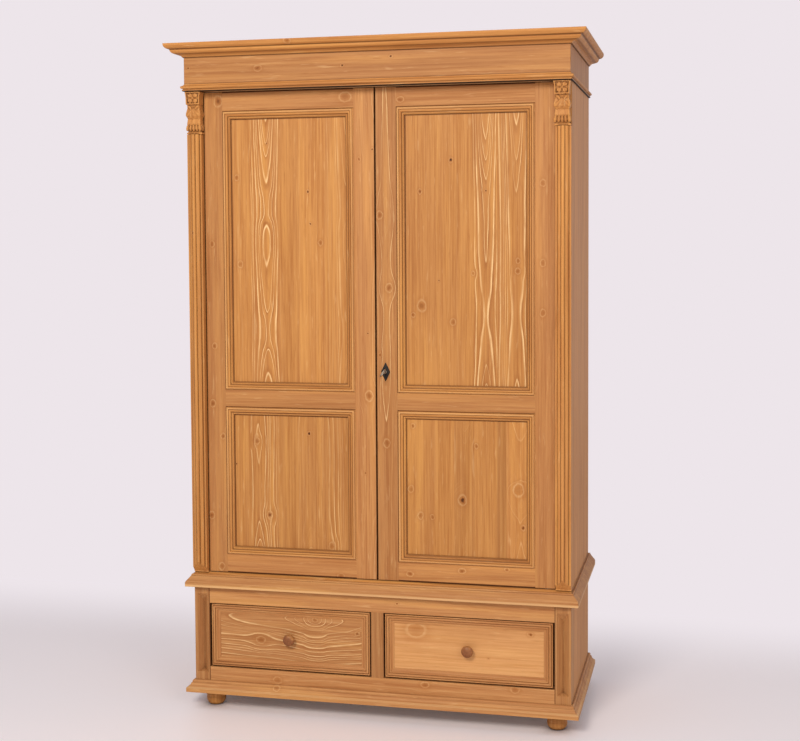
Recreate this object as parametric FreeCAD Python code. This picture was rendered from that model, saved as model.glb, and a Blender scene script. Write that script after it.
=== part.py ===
import FreeCAD, Part
import os
from FreeCAD import Vector

# Two-door wardrobe on a two-drawer base, in millimetres.
# +Z is up, -Y is the front, and the origin is on the floor under the middle of the outer box.

# Overall sizes
body_width = 1142.0
body_depth = 543.0
cornice_overhang = 47.0
cornice_height = 38.0
frieze_height = 99.0
cabinet_height = 1445.0
foot_height = 52.0

# Heights in the front of the base
bottom_rail_height = 76.3
drawer_opening_height = 195.5
upper_rail_height = 72.2

# Boards
side_thickness = 22.0
floor_thickness = 22.0
top_thickness = 22.0
frieze_thickness = 22.0
back_thickness = 12.0

# How far the front faces lie behind the face of the frieze
base_setback = 29.0
door_setback = 38.0

# Clearances
running_gap = 0.3
pin_clearance = 0.05
slide_gap = 0.8

# Extra length on cutting shapes
overrun = 10.0

half_body = body_width / 2
frieze_y = cornice_overhang / 2 - body_depth / 2
base_y = frieze_y + base_setback
door_y = frieze_y + door_setback
back_y = frieze_y + body_depth
inside_x = half_body - side_thickness
inside_back_y = back_y - back_thickness
opening_bottom = foot_height + bottom_rail_height
opening_top = opening_bottom + drawer_opening_height
floor_bottom = opening_top + upper_rail_height
floor_top = floor_bottom + floor_thickness
frieze_bottom = floor_top + cabinet_height
frieze_top = frieze_bottom + frieze_height
top_board_top = frieze_bottom + top_thickness


# Shapes shared by several pieces

def box(x0, x1, y0, y1, z0, z1):
    return Part.makeBox(x1 - x0, y1 - y0, z1 - z0, Vector(x0, y0, z0))


def rod(radius, x, y, z, along):
    return Part.makeCylinder(radius, along.Length, Vector(x, y, z), along)


def outline_face(points, place):
    """A closed outline. A third value on a point bends the edge that ends there. It is the rise of the
    arc as a share of its chord, to the left of the way the outline runs."""
    edges = []
    for i, point in enumerate(points):
        last = points[i - 1]
        start = place(last[0], last[1])
        end = place(point[0], point[1])
        if len(point) == 3:
            across = point[0] - last[0]
            along = point[1] - last[1]
            middle_a = (last[0] + point[0]) / 2 - along * point[2]
            middle_b = (last[1] + point[1]) / 2 + across * point[2]
            edges.append(Part.Arc(start, place(middle_a, middle_b), end).toShape())
        else:
            edges.append(Part.LineSegment(start, end).toShape())
    return Part.Face(Part.Wire(edges))


def scaled(shares, size_a, size_b):
    return [(p[0] * size_a, p[1] * size_b) + tuple(p[2:]) for p in shares]


def prism(points, place, along):
    return outline_face(points, place).extrude(along)


def plan_prism(points, z0, z1):
    return prism(points, lambda a, b: Vector(a, b, z0), Vector(0, 0, z1 - z0))


def mirrored(shape):
    return shape.mirror(Vector(0, 0, 0), Vector(1, 0, 0))


def write(name, shapes):
    solids = []
    for shape in shapes:
        solids += shape.Solids
    for solid in solids:
        if not solid.isValid():
            print("not valid:", name)
    shape = solids[0] if len(solids) == 1 else Part.makeCompound(solids)
    shape.exportStep("parts/" + name + ".step")
    print(name, len(solids))


def write_pair(name, shapes):
    write(name + "_right", shapes)
    write(name + "_left", [mirrored(shape) for shape in shapes])


def write_door(name, shapes):
    write("door_right_" + name, shapes)
    write("door_left_" + name, [mirrored(shape) for shape in shapes])


def write_drawer(name, shapes):
    write("drawer_right_" + name, shapes)
    write("drawer_left_" + name, [mirrored(shape) for shape in shapes])


def wall_moulding(curve, seat, reach, face_y, z):
    """A moulding round the front and both sides, mitred at the front corners. Its curve gives how far
    each point stands out from the face behind it and its height over z. It reaches in by the seat."""
    top = curve[-1][1]
    points = [(-seat, 0)] + curve + [(-seat, top)]
    if seat == 0:
        points = curve
    low_x = half_body - seat
    high_x = half_body + reach
    low_y = face_y + seat
    high_y = face_y - reach
    across = Vector(2 * high_x, 0, 0)
    front = prism(points, lambda a, b: Vector(-high_x, face_y - a, z + b), across)
    front_plan = [(-low_x, low_y), (low_x, low_y), (high_x, high_y), (-high_x, high_y)]
    front = front.common(plan_prism(front_plan, z, z + top))
    back = Vector(0, back_y - high_y, 0)
    side = prism(points, lambda a, b: Vector(half_body + a, high_y, z + b), back)
    side_plan = [(low_x, low_y), (high_x, high_y), (high_x, back_y), (low_x, back_y)]
    side = side.common(plan_prism(side_plan, z, z + top))
    return [front, side, mirrored(side)]


def frame_moulding(points, width, face_y, x0, x1, z0, z1):
    """Four strips mitred into a frame. The outline runs inwards from the outer edge of the frame and
    forwards from the face that the strips lie on."""
    rise = 2 * width
    across = Vector(x1 - x0, 0, 0)
    upright = Vector(0, 0, z1 - z0)
    corners = [(x0, z0), (x1, z0), (x1, z1), (x0, z1)]
    inner = [(x0 + width, z0 + width), (x1 - width, z0 + width), (x1 - width, z1 - width),
             (x0 + width, z1 - width)]
    places = [
        (lambda a, b: Vector(x0, face_y - b, z0 + a), across),
        (lambda a, b: Vector(x1 - a, face_y - b, z0), upright),
        (lambda a, b: Vector(x0, face_y - b, z1 - a), across),
        (lambda a, b: Vector(x0 + a, face_y - b, z0), upright),
    ]
    strips = []
    for i, (place, along) in enumerate(places):
        mitre = [corners[i - 4], corners[i - 3], inner[i - 3], inner[i - 4]]
        cutter = prism(mitre, lambda a, b: Vector(a, face_y - rise, b), Vector(0, 2 * rise, 0))
        strips.append(prism(points, place, along).common(cutter))
    return strips


# Base: feet, posts, rails, sides and the plinth moulding

foot_radius = 28.5
foot_neck_radius = 21.0
foot_pad_radius = 19.0
foot_inset = 46.0
foot_front_setback = 51.0
foot_back_inset = 60.0
foot_belly_share = 0.46
foot_neck_share = 0.88
foot_bend_share = 0.18

post_width = 47.7
post_depth = 60.0
groove_width = 36.0
groove_depth = 17.0
groove_rise = 59.0
groove_drop = 44.0

rail_thickness = 22.0
divider_width = 38.6
base_back_thickness = 16.0
base_back_rise = 12.0

plinth_height = 34.8
plinth_overhang = 23.3
plinth_shares = [(0, 0), (1, 0), (1, 0.36), (0.50, 0.70, 0.15), (0.46, 0.74), (0.37, 0.76), (0.34, 0.82),
                 (0.08, 0.97, -0.35), (0, 1)]

post_inside_x = half_body - post_width
rail_back_y = base_y + rail_thickness
base_back_y = back_y - base_back_thickness
foot_x = half_body - foot_inset
front_foot_y = base_y + foot_front_setback
back_foot_y = back_y - foot_back_inset


def bun_feet():
    belly = foot_height * foot_belly_share
    neck = foot_height * foot_neck_share
    profile = [(0, 0), (foot_pad_radius, 0), (foot_radius, belly, -foot_bend_share),
               (foot_neck_radius, neck, -foot_bend_share), (foot_neck_radius, foot_height), (0, foot_height)]
    face = outline_face(profile, lambda a, b: Vector(a, 0, b))
    foot = face.revolve(Vector(0, 0, 0), Vector(0, 0, 1), 360)
    feet = []
    for x in (-foot_x, foot_x):
        for y in (front_foot_y, back_foot_y):
            feet.append(foot.translated(Vector(x, y, 0)))
    return feet


def base_post():
    post = box(post_inside_x, half_body, base_y, base_y + post_depth, foot_height, floor_bottom)
    middle = half_body - post_width / 2
    left = middle - groove_width / 2
    right = middle + groove_width / 2
    groove = [(left, base_y), (middle, base_y + groove_depth), (right, base_y)]
    return post.cut(plan_prism(groove, foot_height + groove_rise, floor_bottom - groove_drop))


def base_side():
    return box(inside_x, half_body, base_y + post_depth, back_y, foot_height, floor_bottom)


def base_back():
    return box(-inside_x, inside_x, base_back_y, back_y, foot_height + base_back_rise, floor_bottom)


def base_rails():
    lower = box(-post_inside_x, post_inside_x, base_y, rail_back_y, foot_height, opening_bottom)
    upper = box(-post_inside_x, post_inside_x, base_y, rail_back_y, opening_top, floor_bottom)
    return [lower, upper]


def base_divider():
    return box(-divider_width / 2, divider_width / 2, base_y, rail_back_y, opening_bottom, opening_top)


# Drawers, with the runners, guides and kickers that carry them

drawer_gap_inner = 3.7
drawer_gap_outer = 4.8
drawer_gap_below = 4.0
drawer_gap_above = 3.2
drawer_front_thickness = 20.0
drawer_field_recess = 8.5
drawer_side_inset = 4.0
drawer_board = 12.0
drawer_side_drop = 23.3
drawer_back_gap = 39.5
drawer_bottom_thickness = 6.0
drawer_bottom_rise = 10.0
drawer_groove = 6.0

drawer_frame_width = 27.0
drawer_frame_shares = [(0, 0), (0, 0.55), (0.15, 0.55, 0.5), (0.165, 0.45), (0.18, 0.45), (0.19, 0.65),
                       (0.43, 0.65, 0.45), (0.445, 0.5), (0.46, 0.5), (0.47, 0.52), (0.65, 0.44, 0.45),
                       (0.67, 0.34), (0.95, 0.10, -0.08), (1, 0.08), (1, 0)]

runner_thickness = 20.0
runner_reach = 38.0
guide_height = 28.0
guide_setback = 31.0
kicker_thickness = 20.0

knob_radius = 17.5
knob_length = 29.0
knob_shares = [(0, 0), (0.62, 0), (0.62, 0.07), (0.47, 0.20), (0.47, 0.34), (0.95, 0.54),
               (0.92, 0.78, -0.22), (0.2, 1), (0, 1)]

drawer_x0 = divider_width / 2 + drawer_gap_inner
drawer_x1 = post_inside_x - drawer_gap_outer
drawer_z0 = opening_bottom + drawer_gap_below
drawer_z1 = opening_top - drawer_gap_above
drawer_field_y = base_y + drawer_field_recess
drawer_box_y = drawer_field_y + drawer_front_thickness
drawer_end_y = base_back_y - drawer_back_gap
drawer_side_x0 = drawer_x0 + drawer_side_inset
drawer_side_x1 = drawer_x1 - drawer_side_inset
drawer_bottom_z = drawer_z0 + drawer_bottom_rise
runner_top = drawer_z0 - running_gap
runner_bottom = runner_top - runner_thickness
guide_y = base_y + guide_setback


def drawer_front():
    front = box(drawer_x0, drawer_x1, drawer_field_y, drawer_box_y, drawer_z0, drawer_z1)
    return front.cut(drawer_bottom())


def drawer_frame():
    outline = scaled(drawer_frame_shares, drawer_frame_width, drawer_field_recess)
    return frame_moulding(outline, drawer_frame_width, drawer_field_y, drawer_x0, drawer_x1,
                          drawer_z0, drawer_z1)


def drawer_bottom():
    x0 = drawer_side_x0 + drawer_board - drawer_groove
    x1 = drawer_side_x1 - drawer_board + drawer_groove
    y0 = drawer_box_y - drawer_groove
    y1 = drawer_end_y - drawer_board + drawer_groove
    return box(x0, x1, y0, y1, drawer_bottom_z, drawer_bottom_z + drawer_bottom_thickness)


def drawer_box():
    top = drawer_z1 - drawer_side_drop
    bottom = drawer_bottom()
    inner_x = drawer_side_x0 + drawer_board
    outer_x = drawer_side_x1 - drawer_board
    inner = box(drawer_side_x0, inner_x, drawer_box_y, drawer_end_y, drawer_z0, top)
    outer = box(outer_x, drawer_side_x1, drawer_box_y, drawer_end_y, drawer_z0, top)
    back = box(inner_x, outer_x, drawer_end_y - drawer_board, drawer_end_y, drawer_z0, top)
    return [inner.cut(bottom), outer.cut(bottom), back.cut(bottom)]


def drawer_knob():
    outline = scaled(knob_shares, knob_radius, knob_length)
    x = (drawer_x0 + drawer_x1) / 2
    z = (drawer_z0 + drawer_z1) / 2
    face = outline_face(outline, lambda a, b: Vector(x + a, drawer_field_y - b, z))
    return face.revolve(Vector(x, drawer_field_y, z), Vector(0, 1, 0), 360)


def drawer_runners():
    outer_x0 = drawer_side_x1 - runner_reach
    outer = box(outer_x0, post_inside_x, rail_back_y, base_back_y, runner_bottom, runner_top)
    guide_x0 = drawer_side_x1 + slide_gap
    guide_top = runner_top + guide_height
    outer = outer.fuse(box(guide_x0, post_inside_x, guide_y, base_back_y, runner_top, guide_top))
    middle_x = drawer_side_x0 + runner_reach
    middle = box(-middle_x, middle_x, rail_back_y, base_back_y, runner_bottom, runner_top)
    guide_x1 = drawer_side_x0 - slide_gap
    middle = middle.fuse(box(-guide_x1, guide_x1, guide_y, base_back_y, runner_top, guide_top))
    return [outer.removeSplitter(), mirrored(outer.removeSplitter()), middle.removeSplitter()]


def drawer_kickers():
    outer_x0 = drawer_side_x1 - runner_reach
    middle_x = drawer_side_x0 + runner_reach
    top = opening_top + kicker_thickness
    outer = box(outer_x0, post_inside_x, rail_back_y, base_back_y, opening_top, top)
    middle = box(-middle_x, middle_x, rail_back_y, base_back_y, opening_top, top)
    return [outer, mirrored(outer), middle]


def foot_blocks():
    front_x0 = drawer_side_x1 - runner_reach
    front_y1 = front_foot_y + foot_radius
    front = box(front_x0, post_inside_x, rail_back_y, front_y1, foot_height, runner_bottom)
    back_x0 = foot_x - foot_radius
    back_y0 = back_foot_y - foot_radius
    back = box(back_x0, inside_x, back_y0, base_back_y, foot_height, runner_bottom)
    return [front, back, mirrored(front), mirrored(back)]


def plinth_moulding():
    curve = scaled(plinth_shares, plinth_overhang, plinth_height)
    return wall_moulding(curve, 0, plinth_overhang, base_y, foot_height)


# Cabinet floor and the waist moulding in front of it

waist_drop = 20.0
waist_height = 36.0
waist_overhang = 22.7
waist_shares = [(0, 0), (1, 0), (1, 0.35), (0.95, 0.40), (0.925, 0.44), (0.44, 0.80), (0.40, 0.85),
                (0.33, 0.87), (0.10, 0.98, -0.4), (0, 1)]

door_edge_gap = 2.5
meeting_gap = 4.8
door_bottom_gap = 1.8
door_top_gap = 1.5
door_thickness = 22.0
post_face_width = 44.7

pivot_inset = 22.0
pivot_depth = 8.0
pivot_radius = 4.0
pivot_length = 12.0
pivot_bore_radius = 5.0
pivot_bore_depth = 13.0
pivot_plate_length = 40.0
pivot_plate_width = 12.0
pivot_plate_thickness = 3.0

door_x0 = meeting_gap / 2
pilaster_x0 = half_body - post_face_width
door_x1 = pilaster_x0 - door_edge_gap
door_z0 = floor_top + door_bottom_gap
door_z1 = frieze_bottom - door_top_gap
door_back_y = door_y + door_thickness
pivot_x = door_x1 - pivot_inset
pivot_y = door_y + pivot_depth


def pivot_plate(z0, z1):
    x0 = pivot_x - pivot_plate_length / 2
    x1 = pivot_x + pivot_plate_length / 2
    y0 = pivot_y - pivot_plate_width / 2
    y1 = pivot_y + pivot_plate_width / 2
    return box(x0, x1, y0, y1, z0, z1)


def pivot_sockets():
    """Plates let into the cabinet floor and top, each with the hole that its door pin turns in."""
    sockets = []
    for z0 in (floor_top - pivot_plate_thickness, frieze_bottom):
        plate = pivot_plate(z0, z0 + pivot_plate_thickness)
        hole = rod(pivot_radius + pin_clearance, pivot_x, pivot_y, z0, Vector(0, 0, pivot_plate_thickness))
        plate = plate.cut(hole)
        sockets += [plate, mirrored(plate)]
    return sockets


def pivots():
    """The pins at the foot and head of a door, each on a plate let into the edge of the stile."""
    low = pivot_plate(door_z0, door_z0 + pivot_plate_thickness)
    low = low.fuse(rod(pivot_radius, pivot_x, pivot_y, door_z0 - pivot_length, Vector(0, 0, pivot_length)))
    high = pivot_plate(door_z1 - pivot_plate_thickness, door_z1)
    high = high.fuse(rod(pivot_radius, pivot_x, pivot_y, door_z1, Vector(0, 0, pivot_length)))
    return [low, high]


# Slide bolts on the back of the left door

bolt_inset = 31.6
bolt_width = 12.0
bolt_thickness = 6.0
bolt_length = 120.0
bolt_travel = 14.0
bolt_end_gap = 1.5
bolt_hole_depth = 16.0
bolt_back = 2.0
bolt_knob_radius = 5.0
bolt_knob_length = 9.0
bracket_width = 22.0
bracket_height = 16.0
bracket_spacing = 62.0
bracket_depth = 11.0

bolt_x = -door_x0 - bolt_inset
bolt_y0 = door_back_y + bolt_back
bolt_y1 = bolt_y0 + bolt_thickness


def bolt_bar(z0, z1, grow):
    reach = bolt_width / 2 + grow
    return box(bolt_x - reach, bolt_x + reach, bolt_y0 - grow, bolt_y1 + grow, z0, z1)


def slide_bolt(z0):
    bar = bolt_bar(z0, z0 + bolt_length, 0)
    knob_z = z0 + bolt_length / 2
    return bar.fuse(rod(bolt_knob_radius, bolt_x, bolt_y1, knob_z, Vector(0, bolt_knob_length, 0)))


bottom_bolt_z = door_z0 + bolt_end_gap
top_bolt_z = door_z1 - bolt_end_gap - bolt_length


def bolt_brackets():
    brackets = []
    for bolt_z in (bottom_bolt_z, top_bolt_z):
        middle = bolt_z + bolt_length / 2
        for side in (-1, 1):
            z0 = middle + side * bracket_spacing / 2 - bracket_height / 2
            x0 = bolt_x - bracket_width / 2
            z1 = z0 + bracket_height
            block = box(x0, x0 + bracket_width, door_back_y, door_back_y + bracket_depth, z0, z1)
            brackets.append(block.cut(bolt_bar(z0, z1, running_gap)))
    return brackets


def cabinet_floor():
    """The floor board. Its front edge is bevelled back to the face of the doors."""
    bevel = door_setback - base_setback
    bevel_z = floor_bottom + waist_height - waist_drop
    outline = [(base_y, floor_bottom), (back_y, floor_bottom), (back_y, floor_top),
               (base_y + bevel, floor_top), (base_y, bevel_z)]
    floor = prism(outline, lambda a, b: Vector(-half_body, a, b), Vector(body_width, 0, 0))
    plate = pivot_plate(floor_top - pivot_plate_thickness, floor_top)
    depth = Vector(0, 0, pivot_bore_depth)
    bore = rod(pivot_bore_radius, pivot_x, pivot_y, floor_top - pivot_bore_depth, depth)
    cuts = [plate, bore, mirrored(plate), mirrored(bore)]
    cuts.append(bolt_bar(floor_top - bolt_hole_depth, floor_top, running_gap))
    for cut in cuts:
        floor = floor.cut(cut)
    return floor


def waist_moulding():
    curve = scaled(waist_shares, waist_overhang, waist_height)
    return wall_moulding(curve, 0, waist_overhang, base_y, floor_bottom - waist_drop)


# Cabinet: sides, back boards, corner pilasters and capitals

rear_stile_depth = 22.0
back_board_count = 8
back_tongue = 5.0
back_tongue_thickness = 4.0

pilaster_proud = 35.0
pilaster_shares = [(-1, 0), (-1, 0.57), (-0.75, 0.57), (-0.75, 0.54), (-0.71, 0.54), (-0.70, 0.66),
                   (-0.29, 0.82, 0.15), (-0.28, 0.80), (-0.25, 0.80), (-0.23, 0.86), (0.23, 0.86, 0.48),
                   (0.25, 0.80), (0.28, 0.80), (0.29, 0.82), (0.70, 0.66, 0.15), (0.71, 0.54),
                   (0.75, 0.54), (0.75, 0.57), (1, 0.57), (1, 0)]
toe_height = 35.0
toe_foot = 4.0
toe_depth = 27.0

capital_height = 126.0
capital_half_width = 24.3
capital_proud = 38.0
capital_relief = 2.0
capital_inset = 24.5
capital_width_shares = [(-1, 0), (1, 0), (1, 0.048), (0.92, 0.065), (1, 0.317, -0.08), (0.83, 0.365),
                        (0.83, 0.39), (0.87, 0.563, -0.35), (0.815, 0.58), (0.815, 0.675), (0.87, 0.69),
                        (0.88, 0.86), (1, 1), (-1, 1), (-0.88, 0.86), (-0.87, 0.69), (-0.815, 0.675),
                        (-0.815, 0.58), (-0.87, 0.563), (-0.83, 0.39, -0.35), (-0.83, 0.365), (-1, 0.317),
                        (-0.92, 0.065, -0.08), (-1, 0.048)]
capital_depth_shares = [(0, 0), (0.58, 0), (0.58, 0.048), (0.75, 0.065), (0.79, 0.317, -0.06), (0.68, 0.365),
                        (0.76, 0.39), (0.84, 0.563, -0.3), (0.855, 0.58), (0.855, 0.675), (0.97, 0.69),
                        (1, 1), (0, 1)]
rosette_rise = 106.5
rosette_half = 16.5
rosette_depth = 3.5
petal_reach = 14.5
petal_bend_share = 0.3
petal_height = 2.4
button_radius = 4.5
button_height = 3.2
gouge_radius = 3.2
gouge_bite = 2.2
gouge_rise = 6.0
gouge_length = 34.0
gouge_spread = 5.5
gouge_fan_share = 0.55
leaf_proud = 29.5

pilaster_top = frieze_bottom - capital_height
pilaster_x = (pilaster_x0 + half_body) / 2
capital_x = half_body - capital_inset


def cabinet_side():
    return box(inside_x, half_body, door_y, back_y, floor_top, frieze_bottom)


def back_boards():
    boards = []
    width = 2 * inside_x / back_board_count
    tongue_y0 = inside_back_y + (back_thickness - back_tongue_thickness) / 2
    tongue_y1 = tongue_y0 + back_tongue_thickness
    for i in range(back_board_count):
        x0 = -inside_x + i * width
        x1 = x0 + width
        board = box(x0, x1, inside_back_y, back_y, floor_top, frieze_bottom)
        if i > 0:
            board = board.cut(box(x0, x0 + back_tongue, tongue_y0, tongue_y1, floor_top, frieze_bottom))
        if i < back_board_count - 1:
            board = board.fuse(box(x1, x1 + back_tongue, tongue_y0, tongue_y1, floor_top, frieze_bottom))
            board = board.removeSplitter()
        boards.append(board)
    return boards


def pilaster():
    """A moulded strip on the front edge of the side, with the stile behind it that the door shuts beside."""
    points = scaled(pilaster_shares, post_face_width / 2, pilaster_proud)
    strip = prism(points, lambda a, b: Vector(pilaster_x + a, door_y - b, floor_top),
                  Vector(0, 0, pilaster_top - floor_top))
    front_y = door_y - pilaster_proud
    toe = [(front_y - overrun, floor_top + toe_height), (front_y, floor_top + toe_height),
           (front_y + toe_depth, floor_top + toe_foot), (front_y + toe_depth, floor_top - overrun),
           (front_y - overrun, floor_top - overrun)]
    strip = strip.cut(prism(toe, lambda a, b: Vector(pilaster_x0 - overrun, a, b),
                            Vector(post_face_width + 2 * overrun, 0, 0)))
    stile = box(pilaster_x0, inside_x, door_y, door_y + rear_stile_depth, floor_top, frieze_bottom)
    return strip.fuse(stile).removeSplitter()


def petal(x, y, z, reach_x, reach_z):
    bend = petal_bend_share
    face = outline_face([(0, 0, bend), (reach_x, reach_z, bend)], lambda a, b: Vector(x + a, y, z + b))
    return face.extrude(Vector(0, -petal_height, 0))


def capital():
    """A carved capital: a block with a rosette in a sunk square, a neck, a scroll and a fluted leaf."""
    width_outline = scaled(capital_width_shares, capital_half_width, capital_height)
    depth_outline = scaled(capital_depth_shares, capital_proud, capital_height)
    left_x = capital_x - capital_half_width
    front_y = door_y - capital_proud
    front = prism(width_outline, lambda a, b: Vector(capital_x + a, front_y, pilaster_top + b),
                  Vector(0, capital_proud, 0))
    side = prism(depth_outline, lambda a, b: Vector(left_x, door_y - a, pilaster_top + b),
                 Vector(2 * capital_half_width, 0, 0))
    body = front.common(side)
    body = body.cut(box(left_x, pilaster_x0, door_y - capital_relief, door_y, pilaster_top, frieze_bottom))
    rosette_z = pilaster_top + rosette_rise
    sunk_y = front_y + rosette_depth
    sunk = box(capital_x - rosette_half, capital_x + rosette_half, front_y - overrun, sunk_y,
               rosette_z - rosette_half, rosette_z + rosette_half)
    body = body.cut(sunk)
    for reach_x in (-petal_reach, petal_reach):
        for reach_z in (-petal_reach, petal_reach):
            body = body.fuse(petal(capital_x, sunk_y, rosette_z, reach_x, reach_z))
    body = body.fuse(rod(button_radius, capital_x, sunk_y, rosette_z, Vector(0, -button_height, 0)))
    gouge_y = door_y - leaf_proud - gouge_radius + gouge_bite
    for place_share in (-1.5, -0.5, 0.5, 1.5):
        offset = gouge_spread * place_share
        lean = Vector(offset * gouge_fan_share, 0, gouge_length)
        body = body.cut(rod(gouge_radius, capital_x + offset, gouge_y, pilaster_top + gouge_rise, lean))
    return body


# Crown: top board, frieze, bead moulding and cornice

bead_height = 21.0
bead_overhang = 10.0
bead_shares = [(0, 0), (0.5, 0), (0.5, 0.19), (0.3, 0.24), (0.3, 0.30), (0.57, 0.34), (0.57, 0.73, -0.45),
               (0.45, 0.77), (0.08, 0.98, 0.15), (0, 1)]
cornice_shares = [(0, 0), (0.075, 0), (0.36, 0.21, 0.16), (0.40, 0.24), (0.68, 0.53, -0.2), (0.70, 0.58),
                  (1, 0.90, -0.2), (1, 1)]


def cabinet_top():
    top = box(-inside_x, inside_x, frieze_y + frieze_thickness, back_y, frieze_bottom, top_board_top)
    plate = pivot_plate(frieze_bottom, frieze_bottom + pivot_plate_thickness)
    bore = rod(pivot_bore_radius, pivot_x, pivot_y, frieze_bottom, Vector(0, 0, pivot_bore_depth))
    cuts = [plate, bore, mirrored(plate), mirrored(bore)]
    cuts.append(bolt_bar(frieze_bottom, frieze_bottom + bolt_hole_depth, running_gap))
    for cut in cuts:
        top = top.cut(cut)
    return top


def frieze():
    boards = wall_moulding([(0, 0), (0, frieze_height)], frieze_thickness, 0, frieze_y, frieze_bottom)
    boards.append(box(-inside_x, inside_x, back_y - frieze_thickness, back_y, top_board_top, frieze_top))
    return boards


def bead_moulding():
    curve = scaled(bead_shares, bead_overhang, bead_height)
    return wall_moulding(curve, 0, bead_overhang, frieze_y, frieze_bottom)


def cornice():
    curve = scaled(cornice_shares, cornice_overhang, cornice_height)
    return wall_moulding(curve, frieze_thickness, cornice_overhang, frieze_y, frieze_top)


# Inside: hat shelf and clothes rail

shelf_drop = 263.0
shelf_thickness = 20.0
shelf_setback = 40.0
cleat_width = 20.0
cleat_height = 30.0
rail_drop = 77.0
rail_radius = 14.0
socket_size = 60.0
socket_thickness = 16.0

shelf_bottom = frieze_bottom - shelf_drop
shelf_front_y = door_back_y + shelf_setback
rail_y = (door_back_y + inside_back_y) / 2
rail_z = shelf_bottom - rail_drop


def hat_shelf():
    top = shelf_bottom + shelf_thickness
    return box(-inside_x, inside_x, shelf_front_y, inside_back_y, shelf_bottom, top)


def shelf_cleats():
    cleat_bottom = shelf_bottom - cleat_height
    side = box(inside_x - cleat_width, inside_x, shelf_front_y, inside_back_y, cleat_bottom, shelf_bottom)
    inner_x = inside_x - cleat_width
    back = box(-inner_x, inner_x, inside_back_y - cleat_width, inside_back_y, cleat_bottom, shelf_bottom)
    return [side, mirrored(side), back]


def clothes_rail():
    return rod(rail_radius, -inside_x, rail_y, rail_z, Vector(2 * inside_x, 0, 0))


def rail_sockets():
    half = socket_size / 2
    x0 = inside_x - socket_thickness
    block = box(x0, inside_x, rail_y - half, rail_y + half, rail_z - half, rail_z + half)
    bore = rod(rail_radius + running_gap, x0, rail_y, rail_z, Vector(socket_thickness, 0, 0))
    block = block.cut(bore)
    return [block, mirrored(block)]


# Doors: framed panels with raised mouldings

meeting_stile = 61.3
hinge_stile = 57.0
top_rail = 56.0
middle_rail = 50.5
bottom_rail = 55.5
middle_rail_rise = 503.8
panel_recess = 6.0
panel_thickness = 10.0
panel_groove = 8.0
groove_gap = 0.5

door_frame_width = 24.0
door_frame_proud = 14.0
door_frame_shares = [(0, 0), (0, 0.50), (0.06, 0.50), (0.08, 0.44), (0.12, 0.48), (0.12, 0.76),
                     (0.38, 0.76, 0.5), (0.40, 0.66), (0.42, 0.66), (0.42, 0.78), (0.67, 0.62, 0.14),
                     (0.70, 0.50), (0.74, 0.48), (0.92, 0.40, 0.4), (0.95, 0.30), (1, 0.28), (1, 0)]

panel_x0 = door_x0 + meeting_stile
panel_x1 = door_x1 - hinge_stile
panel_y = door_y + panel_recess
middle_rail_z = door_z0 + middle_rail_rise
lower_panel_z = (door_z0 + bottom_rail, middle_rail_z)
upper_panel_z = (middle_rail_z + middle_rail, door_z1 - top_rail)

# Lock, keeper and key

lock_backset = 26.1
lock_rise = 615.9
lock_width = 50.0
lock_height = 78.0
lock_depth = 15.0
lock_wall = 2.0
lock_edge = 1.5
key_radius = 3.0
key_bore_gap = 0.3
bit_reach = 11.0
bit_height = 9.0
bit_thickness = 2.5
bit_gap = 1.0
key_bow_x = 13.0
key_bow_z = 11.0
key_bow_bar = 3.5
key_bow_thickness = 3.5
key_stem = 26.0
key_collar_radius = 4.6
key_collar_length = 4.0
lock_bolt_length = 40.0
lock_bolt_height = 12.0
lock_bolt_thickness = 7.0
lock_bolt_rise = 13.0
lock_bolt_end_gap = 0.5
keeper_width = 16.0
keeper_wall = 5.0
keeper_edge = 1.6
escutcheon_half_width = 14.0
escutcheon_half_height = 28.0
escutcheon_thickness = 2.0

lock_x = door_x0 + lock_backset
lock_z = door_z0 + lock_rise
case_x0 = door_x0 + lock_edge
case_x1 = case_x0 + lock_width
case_y1 = door_back_y + lock_depth
case_z0 = lock_z - lock_height / 2
case_z1 = lock_z + lock_height / 2
lock_bolt_y0 = door_back_y + (lock_depth - lock_bolt_thickness) / 2
lock_bolt_z0 = lock_z + lock_bolt_rise


def door_panel(z_range, grow):
    x0 = panel_x0 - panel_groove - grow
    x1 = panel_x1 + panel_groove + grow
    z0 = z_range[0] - panel_groove - grow
    z1 = z_range[1] + panel_groove + grow
    return box(x0, x1, panel_y, panel_y + panel_thickness, z0, z1)


def key_hole():
    return rod(key_radius + key_bore_gap, lock_x, door_y, lock_z, Vector(0, door_thickness, 0))


def door_stiles():
    meeting = box(door_x0, panel_x0, door_y, door_back_y, door_z0, door_z1)
    hinge = box(panel_x1, door_x1, door_y, door_back_y, door_z0, door_z1)
    stiles = []
    for stile in (meeting, hinge):
        for z_range in (lower_panel_z, upper_panel_z):
            stile = stile.cut(door_panel(z_range, groove_gap))
        for plate in pivots():
            stile = stile.cut(plate)
        stiles.append(stile)
    return stiles


def door_rails():
    levels = [(door_z0, lower_panel_z[0]), (lower_panel_z[1], upper_panel_z[0]),
              (upper_panel_z[1], door_z1)]
    rails = []
    for z0, z1 in levels:
        rail = box(panel_x0, panel_x1, door_y, door_back_y, z0, z1)
        for z_range in (lower_panel_z, upper_panel_z):
            rail = rail.cut(door_panel(z_range, groove_gap))
        rails.append(rail)
    return rails


def door_frames():
    outline = scaled(door_frame_shares, door_frame_width, door_frame_proud)
    strips = []
    for z0, z1 in (lower_panel_z, upper_panel_z):
        strips += frame_moulding(outline, door_frame_width, panel_y, panel_x0, panel_x1, z0, z1)
    return strips


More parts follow.
